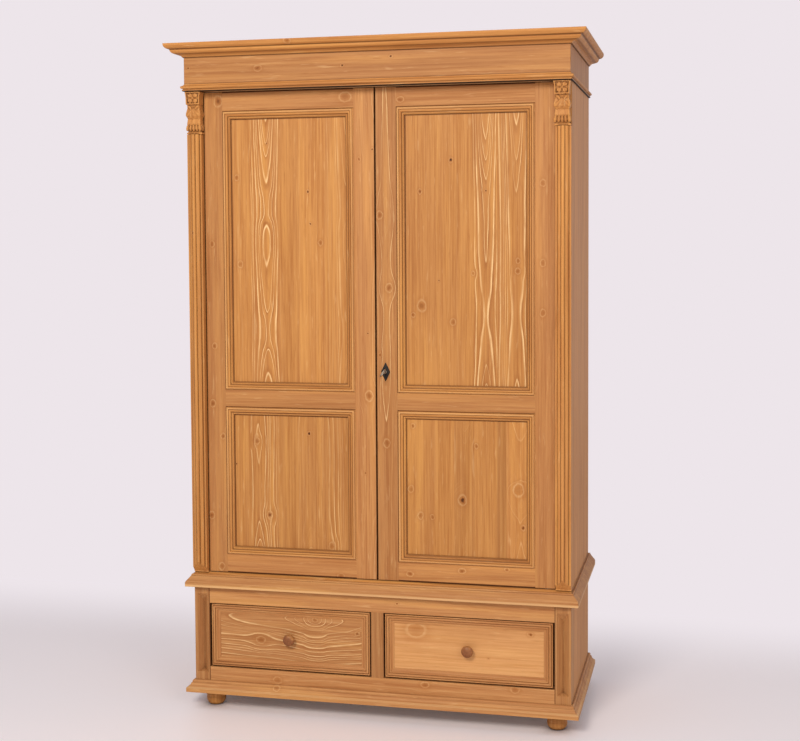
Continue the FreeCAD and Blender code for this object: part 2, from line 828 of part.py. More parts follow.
def escutcheon():
    points = [(escutcheon_half_width, 0), (0, escutcheon_half_height), (-escutcheon_half_width, 0),
              (0, -escutcheon_half_height)]
    plate = prism(points, lambda a, b: Vector(lock_x + a, door_y - escutcheon_thickness, lock_z + b),
                  Vector(0, escutcheon_thickness, 0))
    hole = rod(key_radius + key_bore_gap, lock_x, door_y - escutcheon_thickness, lock_z,
               Vector(0, escutcheon_thickness, 0))
    return plate.cut(hole)


def lock_bolt(grow):
    x0 = door_x0 + lock_bolt_end_gap
    y0 = lock_bolt_y0 - grow
    y1 = lock_bolt_y0 + lock_bolt_thickness + grow
    z0 = lock_bolt_z0 - grow
    return box(x0, x0 + lock_bolt_length, y0, y1, z0, lock_bolt_z0 + lock_bolt_height + grow)


def lock_case():
    case = box(case_x0, case_x1, door_back_y, case_y1, case_z0, case_z1)
    reach = bit_reach + bit_gap
    well = box(lock_x - reach, lock_x + reach, door_back_y + lock_wall, case_y1 - lock_wall,
               lock_z - reach, lock_z + reach)
    stem = rod(key_radius + pin_clearance, lock_x, door_back_y, lock_z, Vector(0, lock_depth, 0))
    for cut in (well, stem, lock_bolt(running_gap)):
        case = case.cut(cut)
    return case


def lock_keeper():
    """A staple on the back of the left door that the lock bolt shoots into."""
    x1 = -door_x0 - keeper_edge
    z0 = lock_bolt_z0 - keeper_wall
    z1 = lock_bolt_z0 + lock_bolt_height + keeper_wall
    block = box(x1 - keeper_width, x1, door_back_y, case_y1, z0, z1)
    slot_z0 = lock_bolt_z0 - slide_gap
    slot_z1 = lock_bolt_z0 + lock_bolt_height + slide_gap
    slot_y0 = lock_bolt_y0 - slide_gap
    slot_y1 = lock_bolt_y0 + lock_bolt_thickness + slide_gap
    return block.cut(box(x1 - keeper_width, x1, slot_y0, slot_y1, slot_z0, slot_z1))


def key():
    """The key in the lock: bit, stem, collar and a flat oval bow that stands upright."""
    stem_y = door_y - escutcheon_thickness - key_stem
    stem = rod(key_radius, lock_x, stem_y, lock_z, Vector(0, case_y1 - stem_y, 0))
    collar_y = door_y - escutcheon_thickness - running_gap - key_collar_length
    collar = rod(key_collar_radius, lock_x, collar_y, lock_z, Vector(0, key_collar_length, 0))
    bit_y = (door_back_y + case_y1 - bit_height) / 2
    bit_x = lock_x - bit_thickness / 2
    bit = box(bit_x, bit_x + bit_thickness, bit_y, bit_y + bit_height, lock_z - bit_reach, lock_z)
    x0 = lock_x - key_bow_thickness / 2
    bow_y = stem_y - key_bow_x + key_bow_bar
    outer = bow_oval(key_bow_x, key_bow_z, x0, bow_y)
    inner = bow_oval(key_bow_x - key_bow_bar, key_bow_z - key_bow_bar, x0, bow_y)
    stem = stem.cut(inner)
    return stem.fuse(collar).fuse(bit).fuse(outer.cut(inner)).removeSplitter()


def bow_oval(reach_y, reach_z, x, y):
    centre = Vector(x, y, lock_z)
    front = Vector(x, y + reach_y, lock_z)
    top = Vector(x, y, lock_z + reach_z)
    if reach_y < reach_z:
        ring = Part.Ellipse(top, front, centre)
    else:
        ring = Part.Ellipse(front, top, centre)
    return Part.Face(Part.Wire(ring.toShape())).extrude(Vector(key_bow_thickness, 0, 0))


# All pieces

os.makedirs("parts", exist_ok=True)

write("bun_feet", bun_feet())
write("foot_blocks", foot_blocks())
write("plinth_moulding", plinth_moulding())
write_pair("base_side", [base_side()])
write("base_back", [base_back()])
write_pair("base_post", [base_post()])
write("base_rails", base_rails())
write("base_divider", [base_divider()])
write("drawer_runners", drawer_runners())
write("drawer_kickers", drawer_kickers())

write("cabinet_floor", [cabinet_floor()])
write("waist_moulding", waist_moulding())
write_pair("cabinet_side", [cabinet_side()])
write("back_boards", back_boards())
write_pair("pilaster", [pilaster()])
write_pair("capital", [capital()])
write("cabinet_top", [cabinet_top()])
write("frieze", frieze())
write("bead_moulding", bead_moulding())
write("cornice", cornice())
write("hat_shelf", [hat_shelf()])
write("shelf_cleats", shelf_cleats())
write("clothes_rail", [clothes_rail()])
write("rail_sockets", rail_sockets())
write("pivot_sockets", pivot_sockets())

stiles = door_stiles()
write("door_right_stiles", [stiles[0].cut(key_hole()), stiles[1]])
write("door_left_stiles", [mirrored(stile) for stile in stiles])
write_door("rails", door_rails())
write_door("upper_panel", [door_panel(upper_panel_z, 0)])
write_door("lower_panel", [door_panel(lower_panel_z, 0)])
write_door("mouldings", door_frames())
write_door("pivots", pivots())

write("top_bolt", [slide_bolt(top_bolt_z)])
write("bottom_bolt", [slide_bolt(bottom_bolt_z)])
write("bolt_brackets", bolt_brackets())
write("lock_keeper", [lock_keeper()])
write("lock_case", [lock_case()])
write("lock_bolt", [lock_bolt(0)])
write("escutcheon", [escutcheon()])
write("key", [key()])

write_drawer("front", [drawer_front()])
write_drawer("frame", drawer_frame())
write_drawer("box", drawer_box())
write_drawer("bottom", [drawer_bottom()])
write_drawer("knob", [drawer_knob()])
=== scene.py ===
import math
import random

import bmesh
import bpy
from mathutils import Matrix, Vector


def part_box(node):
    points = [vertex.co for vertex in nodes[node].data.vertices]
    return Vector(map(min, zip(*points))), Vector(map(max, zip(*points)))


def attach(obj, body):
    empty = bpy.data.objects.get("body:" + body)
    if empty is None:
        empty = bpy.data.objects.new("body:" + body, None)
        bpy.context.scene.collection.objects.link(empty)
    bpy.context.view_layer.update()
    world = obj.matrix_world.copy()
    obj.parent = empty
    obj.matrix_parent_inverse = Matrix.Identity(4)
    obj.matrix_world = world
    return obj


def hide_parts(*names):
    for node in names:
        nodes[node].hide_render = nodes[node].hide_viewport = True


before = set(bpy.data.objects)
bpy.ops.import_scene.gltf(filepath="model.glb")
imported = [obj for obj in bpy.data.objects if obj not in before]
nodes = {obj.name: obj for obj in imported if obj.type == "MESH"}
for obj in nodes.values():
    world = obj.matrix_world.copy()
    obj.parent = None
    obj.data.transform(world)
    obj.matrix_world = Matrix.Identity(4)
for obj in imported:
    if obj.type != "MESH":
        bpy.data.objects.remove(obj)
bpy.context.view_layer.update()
mm = 0.001
random.seed(4)
print("frame loaded:", len(nodes), "nodes")


# Camera, light and floor

# places and sizes in metres, angles in degrees
cameraSetup = {"place": (0.9753, -4.0848, 1.4321), "yaw": 13.115, "pitch": -3.0535, "roll": -0.336,
               "lens": 61.67, "shiftY": -0.0769}
lightSetup = {
    "window": {"place": (-0.4, -4.4, 3.3), "size": 1.5, "power": 134, "colour": "#FFF7EE"},
    "fill": {"place": (2.9, -3.6, 2.4), "size": 2.4, "power": 40, "colour": "#FFF9F2"},
}
# contact is the reach of the painted contact shadow on the floor, and under is its colour
roomSetup = {"sky": "#EFEAF0", "skyStrength": 0.50, "wall": "#EDE5EA", "floor": "#F6F2F5",
             "floorLift": 0.05, "floorHalf": 7.0, "floorNear": 2.6, "wallLine": 0.3, "fade": 0.8,
             "contact": 0.07, "under": "#4A3A33"}


def linear(hexColour):
    # sRGB hex to the linear values that the shaders want
    parts = [int(hexColour[i:i + 2], 16) / 255 for i in (1, 3, 5)]
    return tuple(p / 12.92 if p <= 0.04045 else ((p + 0.055) / 1.055) ** 2.4 for p in parts) + (1,)


modeNames = {"Math": "operation", "VectorMath": "operation", "MapRange": "interpolation_type",
             "Mix": "data_type", "TexNoise": "noise_dimensions", "TexWhiteNoise": "noise_dimensions"}


def addNode(tree, kind, given=()):
    # adds one node, in the mode after its kind's name, and sets or links each thing that it is given
    kind, _, mode = kind.partition(" ")
    node = tree.nodes.new("ShaderNode" + kind)
    if mode:
        setattr(node, modeNames[kind], mode)
    for name, value in dict(given).items():
        if hasattr(value, "outputs"):
            value = value.outputs[0]
        if isinstance(value, bpy.types.NodeSocket):
            tree.links.new(value, node.inputs[name])
        elif isinstance(name, int) or name in node.inputs:
            node.inputs[name].default_value = value
        else:
            setattr(node, name, value)
    return node


def newMaterial(name):
    material = bpy.data.materials.new(name)
    material.use_nodes = True
    material.node_tree.nodes.clear()
    return material, material.node_tree


def setUpCamera():
    camera = bpy.data.cameras.new("camera")
    camera.sensor_fit = "HORIZONTAL"
    camera.lens = cameraSetup["lens"]
    camera.shift_y = cameraSetup["shiftY"]
    cameraObject = bpy.data.objects.new("camera", camera)
    bpy.context.scene.collection.objects.link(cameraObject)
    yaw, pitch, roll = [math.radians(cameraSetup[key]) for key in ("yaw", "pitch", "roll")]
    level = Matrix.Rotation(yaw, 4, "Z") @ Matrix.Rotation(math.pi / 2 + pitch, 4, "X")
    turn = level @ Matrix.Rotation(roll, 4, "Z")
    cameraObject.matrix_world = Matrix.Translation(cameraSetup["place"]) @ turn
    bpy.context.scene.camera = cameraObject


def setUpLights():
    for name, lamp in lightSetup.items():
        light = bpy.data.lights.new(name, "AREA")
        light.shape = "DISK"
        light.size = lamp["size"]
        light.energy = lamp["power"]
        light.color = linear(lamp["colour"])[:3]
        lightObject = bpy.data.objects.new(name, light)
        bpy.context.scene.collection.objects.link(lightObject)
        aim = Vector((0, 0, 1.0)) - Vector(lamp["place"])
        turn = aim.to_track_quat("-Z", "Y").to_matrix().to_4x4()
        lightObject.matrix_world = Matrix.Translation(lamp["place"]) @ turn


def setUpRoom():
    world = bpy.data.worlds.new("studio")
    bpy.context.scene.world = world
    world.use_nodes = True
    tree = world.node_tree
    tree.nodes.clear()
    path = addNode(tree, "LightPath")
    direct = addNode(tree, "Math MAXIMUM",
                     {0: path.outputs["Is Camera Ray"], 1: path.outputs["Is Transmission Ray"]})
    seen = addNode(tree, "Math MAXIMUM", {0: direct, 1: path.outputs["Is Glossy Ray"]})
    sky = addNode(tree, "Background",
                  {"Color": linear(roomSetup["sky"]), "Strength": roomSetup["skyStrength"]})
    wall = addNode(tree, "Background", {"Color": linear(roomSetup["wall"]), "Strength": 1.0})
    both = addNode(tree, "MixShader", {0: seen, 1: sky, 2: wall})
    addNode(tree, "OutputWorld", {0: both})

    bpy.ops.object.select_all(action="DESELECT")
    bpy.ops.mesh.primitive_plane_add(size=1)
    floor = bpy.context.object
    floor.name = "studioFloor"
    floor.scale = (roomSetup["floorHalf"] * 2, roomSetup["floorHalf"] * 2, 1)
    bpy.ops.object.transform_apply(location=True, rotation=True, scale=True)
    # a pale floor that takes the shadow, and past the wall's foot the plain colour of the wall
    material, tree = newMaterial("pale painted floor")
    shader = addNode(tree, "BsdfPrincipled",
                     {"Base Color": linear(roomSetup["floor"]), "Roughness": 0.45,
                      "Specular IOR Level": 0.3})
    path = addNode(tree, "LightPath")
    lift = addNode(tree, "Math MULTIPLY", {0: path.outputs["Is Camera Ray"], 1: roomSetup["floorLift"]})
    glow = addNode(tree, "Emission", {"Color": linear(roomSetup["floor"]), "Strength": lift})
    # painted contact shadow: close under the plinth the floor colour is made darker and warmer where an
    # occlusion test finds the wardrobe near
    corner = addNode(tree, "AmbientOcclusion", {"samples": 8, "Distance": roomSetup["contact"]})
    contact = addNode(tree, "MapRange SMOOTHSTEP",
                      {0: corner.outputs["AO"], 1: 0.1, 2: 0.6, 3: 1.0, 4: 0.0})
    ground = addNode(tree, "Mix RGBA",
                     {0: contact, 6: linear(roomSetup["floor"]), 7: linear(roomSetup["under"])})
    tree.links.new(ground.outputs[2], shader.inputs["Base Color"])
    tree.links.new(ground.outputs[2], glow.inputs["Color"])
    near = addNode(tree, "AddShader", {0: shader, 1: glow})
    coordinates = addNode(tree, "TexCoord")
    parts = addNode(tree, "SeparateXYZ", {0: coordinates.outputs["Object"]})
    line = roomSetup["wallLine"]
    behind = addNode(tree, "MapRange SMOOTHSTEP",
                     {0: parts.outputs[1], 1: line, 2: line + roomSetup["fade"]})
    far = addNode(tree, "VectorMath LENGTH", {0: coordinates.outputs["Object"]})
    far = addNode(tree, "MapRange SMOOTHSTEP",
                  {0: far.outputs["Value"], 1: roomSetup["floorNear"], 2: roomSetup["floorHalf"] - 1.0})
    behind = addNode(tree, "Math MAXIMUM", {0: behind, 1: far})
    behind = addNode(tree, "Math MULTIPLY", {0: behind, 1: path.outputs["Is Camera Ray"]})
    wall = addNode(tree, "Emission", {"Color": linear(roomSetup["wall"])})
    both = addNode(tree, "MixShader", {0: behind, 1: near, 2: wall})
    addNode(tree, "OutputMaterial", {0: both})
    floor.data.materials.append(material)


setUpCamera()
setUpLights()
setUpRoom()
print("camera, light and floor set")


# Wood: spruce boards stained honey brown and waxed, so that the hard late wood of each year ring stays paler
# than the soft wood between, and the corners of the mouldings are darkened, partly by dark wax and partly by
# painted shade

# colours, then sizes in mm: of a year ring and its pale line, and of each noise across and along the grain,
# with its detail and roughness; then what a board may change, and where its rings rise, calm down and fade
# the wax colour, its lines and the cavity values darken hollows and joins, partly as dark wax and partly as
# painted shade; the worn lines are pale, partly wear and partly painted highlight
spruce = {"base": "#CC9150", "soft": "#AE7138", "line": "#F6CE93", "shade": "#96592A", "gold": "#DB9F55",
          "knot": "#8E5222", "knotHeart": "#2E180B", "halo": "#A86A34", "rose": "#B27A4C", "waxAndShade": "#512A0E",
          "ring": 6.5, "lineMm": 2.2, "warpSize": (45, 330, 2.5, 0.45), "wearSize": (30, 190, 2.0, 0.5),
          "fleckSize": (7, 64, 2.5, 0.6), "fibreSize": (6, 320, 5.0, 0.72), "stainSize": (34, 620, 3.0, 0.55),
          "boards": [(0, 0.5, 40, 2.0, 0.3)], "span": (-700, 700), "heart": None, "knots": [],
          "way": "upright", "strips": None, "tint": 1.0, "bold": 1.0, "roughness": 0.5, "wave": 1.0,
          "point": 1.6, "far": 0.3, "calm": 0.25, "blush": 0.2, "waxAndShadeLines": [], "wearAndHighlightLines": [],
          "cavity": 0.7, "cavityMm": 7, "cavityAt": (0.15, 0.7), "hillMm": 420.0, "hillDepth": (80.0, 200.0),
          "calmMm": (6.0, 45.0), "plainMm": (22.0, 75.0)}


def makeKnotGroup():
    # bends the grain round one knot, and keeps the darkest core and the way to the nearest knot
    group = bpy.data.node_groups.new("knot", "ShaderNodeTree")
    for name, kind in (("Place", "Vector"), ("Across", "Float"), ("Core", "Float"), ("Nearest", "Float"),
                       ("Centre", "Vector"), ("Size", "Vector"), ("Dark", "Float"), ("Bend", "Float")):
        group.interface.new_socket(name, in_out="INPUT", socket_type="NodeSocket" + kind)
    for name in ("Across", "Core", "Nearest"):
        group.interface.new_socket(name, in_out="OUTPUT", socket_type="NodeSocketFloat")
    given = group.nodes.new("NodeGroupInput")
    result = group.nodes.new("NodeGroupOutput")
    offset = addNode(group, "VectorMath SUBTRACT", {0: given.outputs["Place"], 1: given.outputs["Centre"]})
    local = addNode(group, "VectorMath DIVIDE", {0: offset, 1: given.outputs["Size"]})
    reach = addNode(group, "VectorMath LENGTH", {0: local})
    distance = reach.outputs["Value"]
    core = addNode(group, "MapRange SMOOTHSTEP", {0: distance, 1: 0.25, 2: 1.0, 3: 1.0, 4: 0.0})
    core = addNode(group, "Math MULTIPLY", {0: core, 1: given.outputs["Dark"]})
    core = addNode(group, "Math MAXIMUM", {0: core, 1: given.outputs["Core"]})
    nearest = addNode(group, "Math MINIMUM", {0: distance, 1: given.outputs["Nearest"]})
    near = addNode(group, "MapRange SMOOTHERSTEP", {0: distance, 1: 0.0, 2: 6.0, 3: 1.0, 4: 0.0})
    parts = addNode(group, "SeparateXYZ", {0: offset})
    push = addNode(group, "Math MULTIPLY", {0: near, 1: given.outputs["Bend"]})
    push = addNode(group, "Math MULTIPLY", {0: push, 1: parts.outputs[0]})
    across = addNode(group, "Math SUBTRACT", {0: given.outputs["Across"], 1: push})
    for name, node in (("Across", across), ("Core", core), ("Nearest", nearest)):
        group.links.new(node.outputs[0], result.inputs[name])
    return group


knotGroup = makeKnotGroup()


def stripMask(tree, place, strips):
    # 1 where a mitred strip runs the second way: beside a frame's uprights, or on a wall's side returns
    parts = addNode(tree, "SeparateXYZ", {0: place})
    if "corner" in strips:
        out = addNode(tree, "Math ABSOLUTE", {0: parts.outputs[0]})
        out = addNode(tree, "Math SUBTRACT", {0: out, 1: strips["corner"][0]})
        ahead = addNode(tree, "Math SUBTRACT", {0: strips["corner"][1], 1: parts.outputs[1]})
        return addNode(tree, "Math GREATER_THAN", {0: out, 1: ahead}).outputs[0]
    edges = []
    for axis, (low, high) in ((0, strips["x"]), (2, strips["z"]), (2, strips.get("upperZ", strips["z"]))):
        away = addNode(tree, "Math SUBTRACT", {0: parts.outputs[axis], 1: (low + high) / 2})
        away = addNode(tree, "Math ABSOLUTE", {0: away})
        away = addNode(tree, "Math SUBTRACT", {0: away, 1: (high - low) / 2})
        edges.append(away.outputs[0])
    level = addNode(tree, "Math MINIMUM", {0: edges[1], 1: edges[2]})
    return addNode(tree, "Math GREATER_THAN", {0: edges[0], 1: level}).outputs[0]


def edgeLine(tree, place, outline):
    # 1 on a rectangle's outline, fading to 0 at its reach on both sides: dark wax and painted shade where two
    # pieces meet, and for the pale lines wear and painted highlight
    parts = addNode(tree, "SeparateXYZ", {0: place})
    away = []
    for axis, (low, high) in ((0, outline["x"]), (2, outline["z"])):
        off = addNode(tree, "Math SUBTRACT", {0: parts.outputs[axis], 1: (low + high) / 2})
        off = addNode(tree, "Math ABSOLUTE", {0: off})
        away.append(addNode(tree, "Math SUBTRACT", {0: off, 1: (high - low) / 2}))
    out = addNode(tree, "Math MAXIMUM", {0: away[0], 1: away[1]})
    out = addNode(tree, "Math ABSOLUTE", {0: out})
    line = addNode(tree, "MapRange SMOOTHSTEP",
                   {0: out, 1: outline["reach"] * 0.35, 2: outline["reach"], 3: outline["dark"], 4: 0.0})
    if "front" in outline:
        # and none on the back of the same board
        ahead = addNode(tree, "Math LESS_THAN", {0: parts.outputs[1], 1: outline["front"]})
        line = addNode(tree, "Math MULTIPLY", {0: line, 1: ahead})
    return line.outputs[0]


knotWide = 0.75  # as a share of its length along the grain
knotDeepMm = 10000  # it goes right through the board
axisOrder = {"upright": (0, 1, 2), "level": (2, 1, 0), "side": (1, 0, 2), "deep": (0, 2, 1),
             "flat": (1, 2, 0)}


def grainPlace(tree, place, way):
    # the place in millimetres as across the grain, into the board and along the grain
    parts = addNode(tree, "SeparateXYZ", {0: place})
    order = axisOrder[way]
    return addNode(tree, "CombineXYZ", {i: parts.outputs[order[i]] for i in range(3)}).outputs[0]


def grainNoise(tree, grain, seed, size):
    # noise drawn out along the grain: its width and length in mm, its detail and its roughness
    wide, long, detail, rough = size
    stretched = addNode(tree, "VectorMath MULTIPLY", {0: grain, 1: (1 / wide, 1 / wide, 1 / long)})
    return addNode(tree, "TexNoise 4D",
                   {0: stretched, 1: seed, "Scale": 1.0, "Detail": detail, "Roughness": rough})


def spruceMaterial(name, wood):
    look = {**spruce, **wood}
    material, tree = newMaterial(name)
    coordinates = addNode(tree, "TexCoord")
    place = addNode(tree, "VectorMath SCALE", {0: coordinates.outputs["Object"], "Scale": 1 / mm})
    place = place.outputs[0]
    grain = grainPlace(tree, place, look["way"])
    if look["strips"]:
        turned = grainPlace(tree, place, look["strips"]["way"])
        mask = stripMask(tree, place, look["strips"])
        grain = addNode(tree, "Mix VECTOR", {0: mask, 4: grain, 5: turned}).outputs[1]
    parts = addNode(tree, "SeparateXYZ", {0: grain})

    # one stop of the ramp for each board: tone, heart across, heart depth and how bold its rings are
    low, high = look["span"]
    ramp = addNode(tree, "ValToRGB")
    ramp.color_ramp.interpolation = "CONSTANT"
    wide = high - low
    for i, (start, tone, heart, deep, bold) in enumerate(look["boards"]):
        at = min(max((start - low) / wide, 0), 1)
        stop = ramp.color_ramp.elements[0] if i == 0 else ramp.color_ramp.elements.new(at)
        stop.position = at
        stop.color = (tone, (heart - low + wide) / (3 * wide), deep / 4, bold)
    ramp.color_ramp.elements.remove(ramp.color_ramp.elements[-1])
    share = addNode(tree, "MapRange", {0: parts.outputs[0], 1: low, 2: high})
    tree.links.new(share.outputs[0], ramp.inputs[0])
    board = addNode(tree, "SeparateColor", {0: ramp})
    tone = board.outputs[0]
    heart = addNode(tree, "MapRange", {0: board.outputs[1], 3: low - wide, 4: high + wide, "clamp": False})
    seed = addNode(tree, "Math MULTIPLY", {0: tone, 1: 61.7})

    # knots bend the grain before the rings are worked out, and none is quite round
    across, core, nearest = parts.outputs[0], None, None
    if look["knots"]:
        ragged = addNode(tree, "VectorMath SCALE", {0: grain, "Scale": 1 / 9})
        ragged = addNode(tree, "TexNoise", {0: ragged, "Scale": 1.0, "Detail": 2.0})
        ragged = addNode(tree, "VectorMath MULTIPLY_ADD",
                         {0: ragged.outputs["Color"], 1: (7, 7, 7), 2: (-3.5, -3.5, -3.5)})
        knotPlace = addNode(tree, "VectorMath ADD", {0: grain, 1: ragged}).outputs[0]
    for x, z, size, dark, bend in look["knots"]:
        knot = tree.nodes.new("ShaderNodeGroup")
        knot.node_tree = knotGroup
        values = {"Centre": (z, 0, x) if look["way"] == "level" else (x, 0, z), "Dark": dark, "Bend": bend,
                  "Size": (size * knotWide, knotDeepMm, size), "Nearest": 99}
        for key, value in values.items():
            knot.inputs[key].default_value = value
        for key, socket in (("Place", knotPlace), ("Across", across), ("Core", core), ("Nearest", nearest)):
            if socket:
                tree.links.new(socket, knot.inputs[key])
        across, core, nearest = knot.outputs["Across"], knot.outputs["Core"], knot.outputs["Nearest"]

    # the trunk's heart lies behind the face, nearer or deeper along the board, which draws the arches
    if look["heart"]:
        start, end = look["heart"][0][0], look["heart"][-1][0]
        along = addNode(tree, "MapRange", {0: parts.outputs[2], 1: start, 2: end})
        curve = addNode(tree, "FloatCurve", {1: along})
        points = curve.mapping.curves[0].points
        deepest = max(p[1] for p in look["heart"])
        points[0].location = (0, look["heart"][0][1] / deepest)
        points[1].location = (1, look["heart"][-1][1] / deepest)
        for at, deep in look["heart"][1:-1]:
            points.new((at - start) / (end - start), deep / deepest)
        curve.mapping.update()
        deep = addNode(tree, "Math MULTIPLY", {0: curve, 1: deepest * 4})
        middleDeep = 4 * sum(p[1] for p in look["heart"]) / len(look["heart"])
    else:
        low, high = look["hillDepth"]
        slow = addNode(tree, "Math DIVIDE", {0: parts.outputs[2], 1: look["hillMm"]})
        rise = addNode(tree, "Math ADD", {0: slow, 1: seed})
        hills = addNode(tree, "TexNoise 1D", {"Scale": 1.0, "Detail": 1.0, "W": rise})
        deep = addNode(tree, "MapRange", {0: hills, 1: 0.25, 2: 0.75, 3: low, 4: high, "clamp": False})
        middleDeep = (low + high) / 2
    warp = grainNoise(tree, grain, seed, look["warpSize"])
    warp = addNode(tree, "MapRange",
                   {0: warp, 1: 0.3, 2: 0.7, 3: -2.6 * look["wave"], 4: 2.6 * look["wave"], "clamp": False})
    aside = addNode(tree, "Math SUBTRACT", {0: across, 1: heart})
    # a power under 2 points the arches as flat sawn boards show them
    outward = addNode(tree, "Math ABSOLUTE", {0: aside})
    # away from the heart the grain runs straighter and plainer
    near, wide = look["calmMm"]
    swing = addNode(tree, "MapRange SMOOTHSTEP", {0: outward, 1: near, 2: wide, 3: 1.0, 4: look["calm"]})
    deep = addNode(tree, "Math SUBTRACT", {0: deep, 1: middleDeep})
    deep = addNode(tree, "Math MULTIPLY_ADD", {0: deep, 1: swing, 2: middleDeep})
    deep = addNode(tree, "Math MULTIPLY", {0: deep, 1: board.outputs[2]})
    near, wide = look["plainMm"]
    plain = addNode(tree, "MapRange SMOOTHSTEP", {0: outward, 1: near, 2: wide, 3: 1.0, 4: look["far"]})
    outPower = addNode(tree, "Math POWER", {0: outward, 1: look["point"]})
    deepPower = addNode(tree, "Math POWER", {0: deep, 1: look["point"]})
    radius = addNode(tree, "Math ADD", {0: outPower, 1: deepPower})
    radius = addNode(tree, "Math POWER", {0: radius, 1: 1 / look["point"]})
    radius = addNode(tree, "Math ADD", {0: radius, 1: warp})
    decade = addNode(tree, "Math DIVIDE", {0: radius, 1: look["ring"] * 2.6})
    decade = addNode(tree, "Math ADD", {0: decade, 1: seed})
    uneven = addNode(tree, "TexNoise 1D", {"Scale": 1.0, "Detail": 0.0, "W": decade})
    uneven = addNode(tree, "MapRange",
                     {0: uneven, 3: -look["ring"] * 0.9, 4: look["ring"] * 0.9, "clamp": False})
    rings = addNode(tree, "Math ADD", {0: radius, 1: uneven})
    rings = addNode(tree, "Math DIVIDE", {0: rings, 1: look["ring"]})
    year = addNode(tree, "Math ROUND", {0: rings})
    phase = addNode(tree, "Math SUBTRACT", {0: rings, 1: year})

    # the late wood of a year is a thin pale line, as thin where the board cuts the ring flat, and the soft
    # wood next to it has drunk the most stain
    slope = addNode(tree, "Math DIVIDE", {0: aside, 1: radius})
    slope = addNode(tree, "Math ABSOLUTE", {0: slope})
    thick = addNode(tree, "MapRange",
                    {0: slope, 1: 0.0, 2: 1.0, 3: 0.3 * look["lineMm"] / look["ring"],
                     4: look["lineMm"] / look["ring"]})
    inner = addNode(tree, "Math MULTIPLY", {0: thick, 1: -1.1})
    before = addNode(tree, "MapRange SMOOTHSTEP", {0: phase, 1: inner, 2: 0.0})
    outer = addNode(tree, "Math MULTIPLY", {0: thick, 1: 0.4})
    after = addNode(tree, "MapRange SMOOTHSTEP", {0: phase, 1: 0.0, 2: outer, 3: 1.0, 4: 0.0})
    line = addNode(tree, "Math MULTIPLY", {0: before, 1: after})
    soak = addNode(tree, "Math SUBTRACT", {0: phase, 1: outer})
    soak = addNode(tree, "Math DIVIDE", {0: soak, 1: thick})
    soakIn = addNode(tree, "MapRange SMOOTHSTEP", {0: soak, 1: -0.2, 2: 0.3})
    soakOut = addNode(tree, "MapRange SMOOTHSTEP", {0: soak, 1: 0.3, 2: 2.4, 3: 1.0, 4: 0.0})
    soak = addNode(tree, "Math MULTIPLY", {0: soakIn, 1: soakOut})
    chance = addNode(tree, "Math ADD", {0: year, 1: seed})
    chance = addNode(tree, "TexWhiteNoise 1D", {"W": chance})
    boldness = addNode(tree, "Math MULTIPLY", {0: ramp.outputs[1], 1: look["bold"]})
    strong = addNode(tree, "Math MULTIPLY_ADD", {0: chance, 1: 0.85, 2: boldness})
    strong = addNode(tree, "MapRange SMOOTHSTEP", {0: strong, 1: 0.85, 2: 1.6, 3: 0.1, 4: 1.0})
    wear = grainNoise(tree, grain, seed, look["wearSize"])
    wear = addNode(tree, "MapRange", {0: wear, 1: 0.34, 2: 0.58, 3: 0.3, 4: 1.0})
    reach = addNode(tree, "MapRange", {0: boldness, 2: 0.8, 3: 0.25, 4: 1.0})
    flecked = grainNoise(tree, grain, seed, look["fleckSize"])
    broken = addNode(tree, "MapRange SMOOTHSTEP", {0: flecked, 1: 0.38, 2: 0.52, 3: 0.5, 4: 1.0})
    force = strong
    for part in (wear, reach, plain, broken):
        force = addNode(tree, "Math MULTIPLY", {0: force, 1: part})
    line = addNode(tree, "Math MULTIPLY", {0: line, 1: force, "use_clamp": True})
    if core:
        # a pale ring of grain goes round each knot
        rise = addNode(tree, "MapRange SMOOTHSTEP", {0: nearest, 1: 1.0, 2: 1.2})
        fall = addNode(tree, "MapRange SMOOTHSTEP", {0: nearest, 1: 1.2, 2: 1.7, 3: 0.45, 4: 0.0})
        ring = addNode(tree, "Math MULTIPLY", {0: rise, 1: fall})
        ring = addNode(tree, "Math MULTIPLY", {0: ring, 1: broken})
        line = addNode(tree, "Math MAXIMUM", {0: line, 1: ring})
    soak = addNode(tree, "Math MULTIPLY", {0: soak, 1: force, "use_clamp": True})
    soak = addNode(tree, "Math MULTIPLY", {0: soak, 1: 0.55})

    # fibres 1.5 mm wide, drawn twice as coarse as in the wood so that they show, and wide slow stains
    fibre = grainNoise(tree, grain, seed, look["fibreSize"])
    stain = grainNoise(tree, grain, seed, look["stainSize"])
    base = addNode(tree, "MapRange", {0: fibre, 1: 0.36, 2: 0.62, 3: 0.0, 4: 1.0})
    colour = addNode(tree, "Mix RGBA", {0: base, 6: linear(look["soft"]), 7: linear(look["base"])})
    patch = addNode(tree, "MapRange SMOOTHSTEP", {0: stain, 1: 0.52, 2: 0.78, 3: 0.0, 4: 0.5})
    glow = addNode(tree, "MapRange SMOOTHSTEP", {0: stain, 1: 0.28, 2: 0.5, 3: 0.6, 4: 0.0})
    stainParts = addNode(tree, "SeparateColor", {0: stain.outputs["Color"]})
    rosy = addNode(tree, "MapRange SMOOTHSTEP",
                   {0: stainParts.outputs[1], 1: 0.4, 2: 0.62, 3: 0.0, 4: look["blush"]})
    darkFleck = addNode(tree, "MapRange SMOOTHSTEP", {0: flecked, 1: 0.24, 2: 0.42, 3: 0.32, 4: 0.0})
    soak = addNode(tree, "Math MAXIMUM", {0: soak, 1: darkFleck})
    paleFleck = addNode(tree, "MapRange SMOOTHSTEP", {0: flecked, 1: 0.58, 2: 0.76, 3: 0.0, 4: 0.24})
    line = addNode(tree, "Math MAXIMUM", {0: line, 1: paleFleck})
    layers = [(patch, "shade"), (glow, "gold"), (rosy, "rose"), (soak, "shade"), (line, "line")]
    if core:
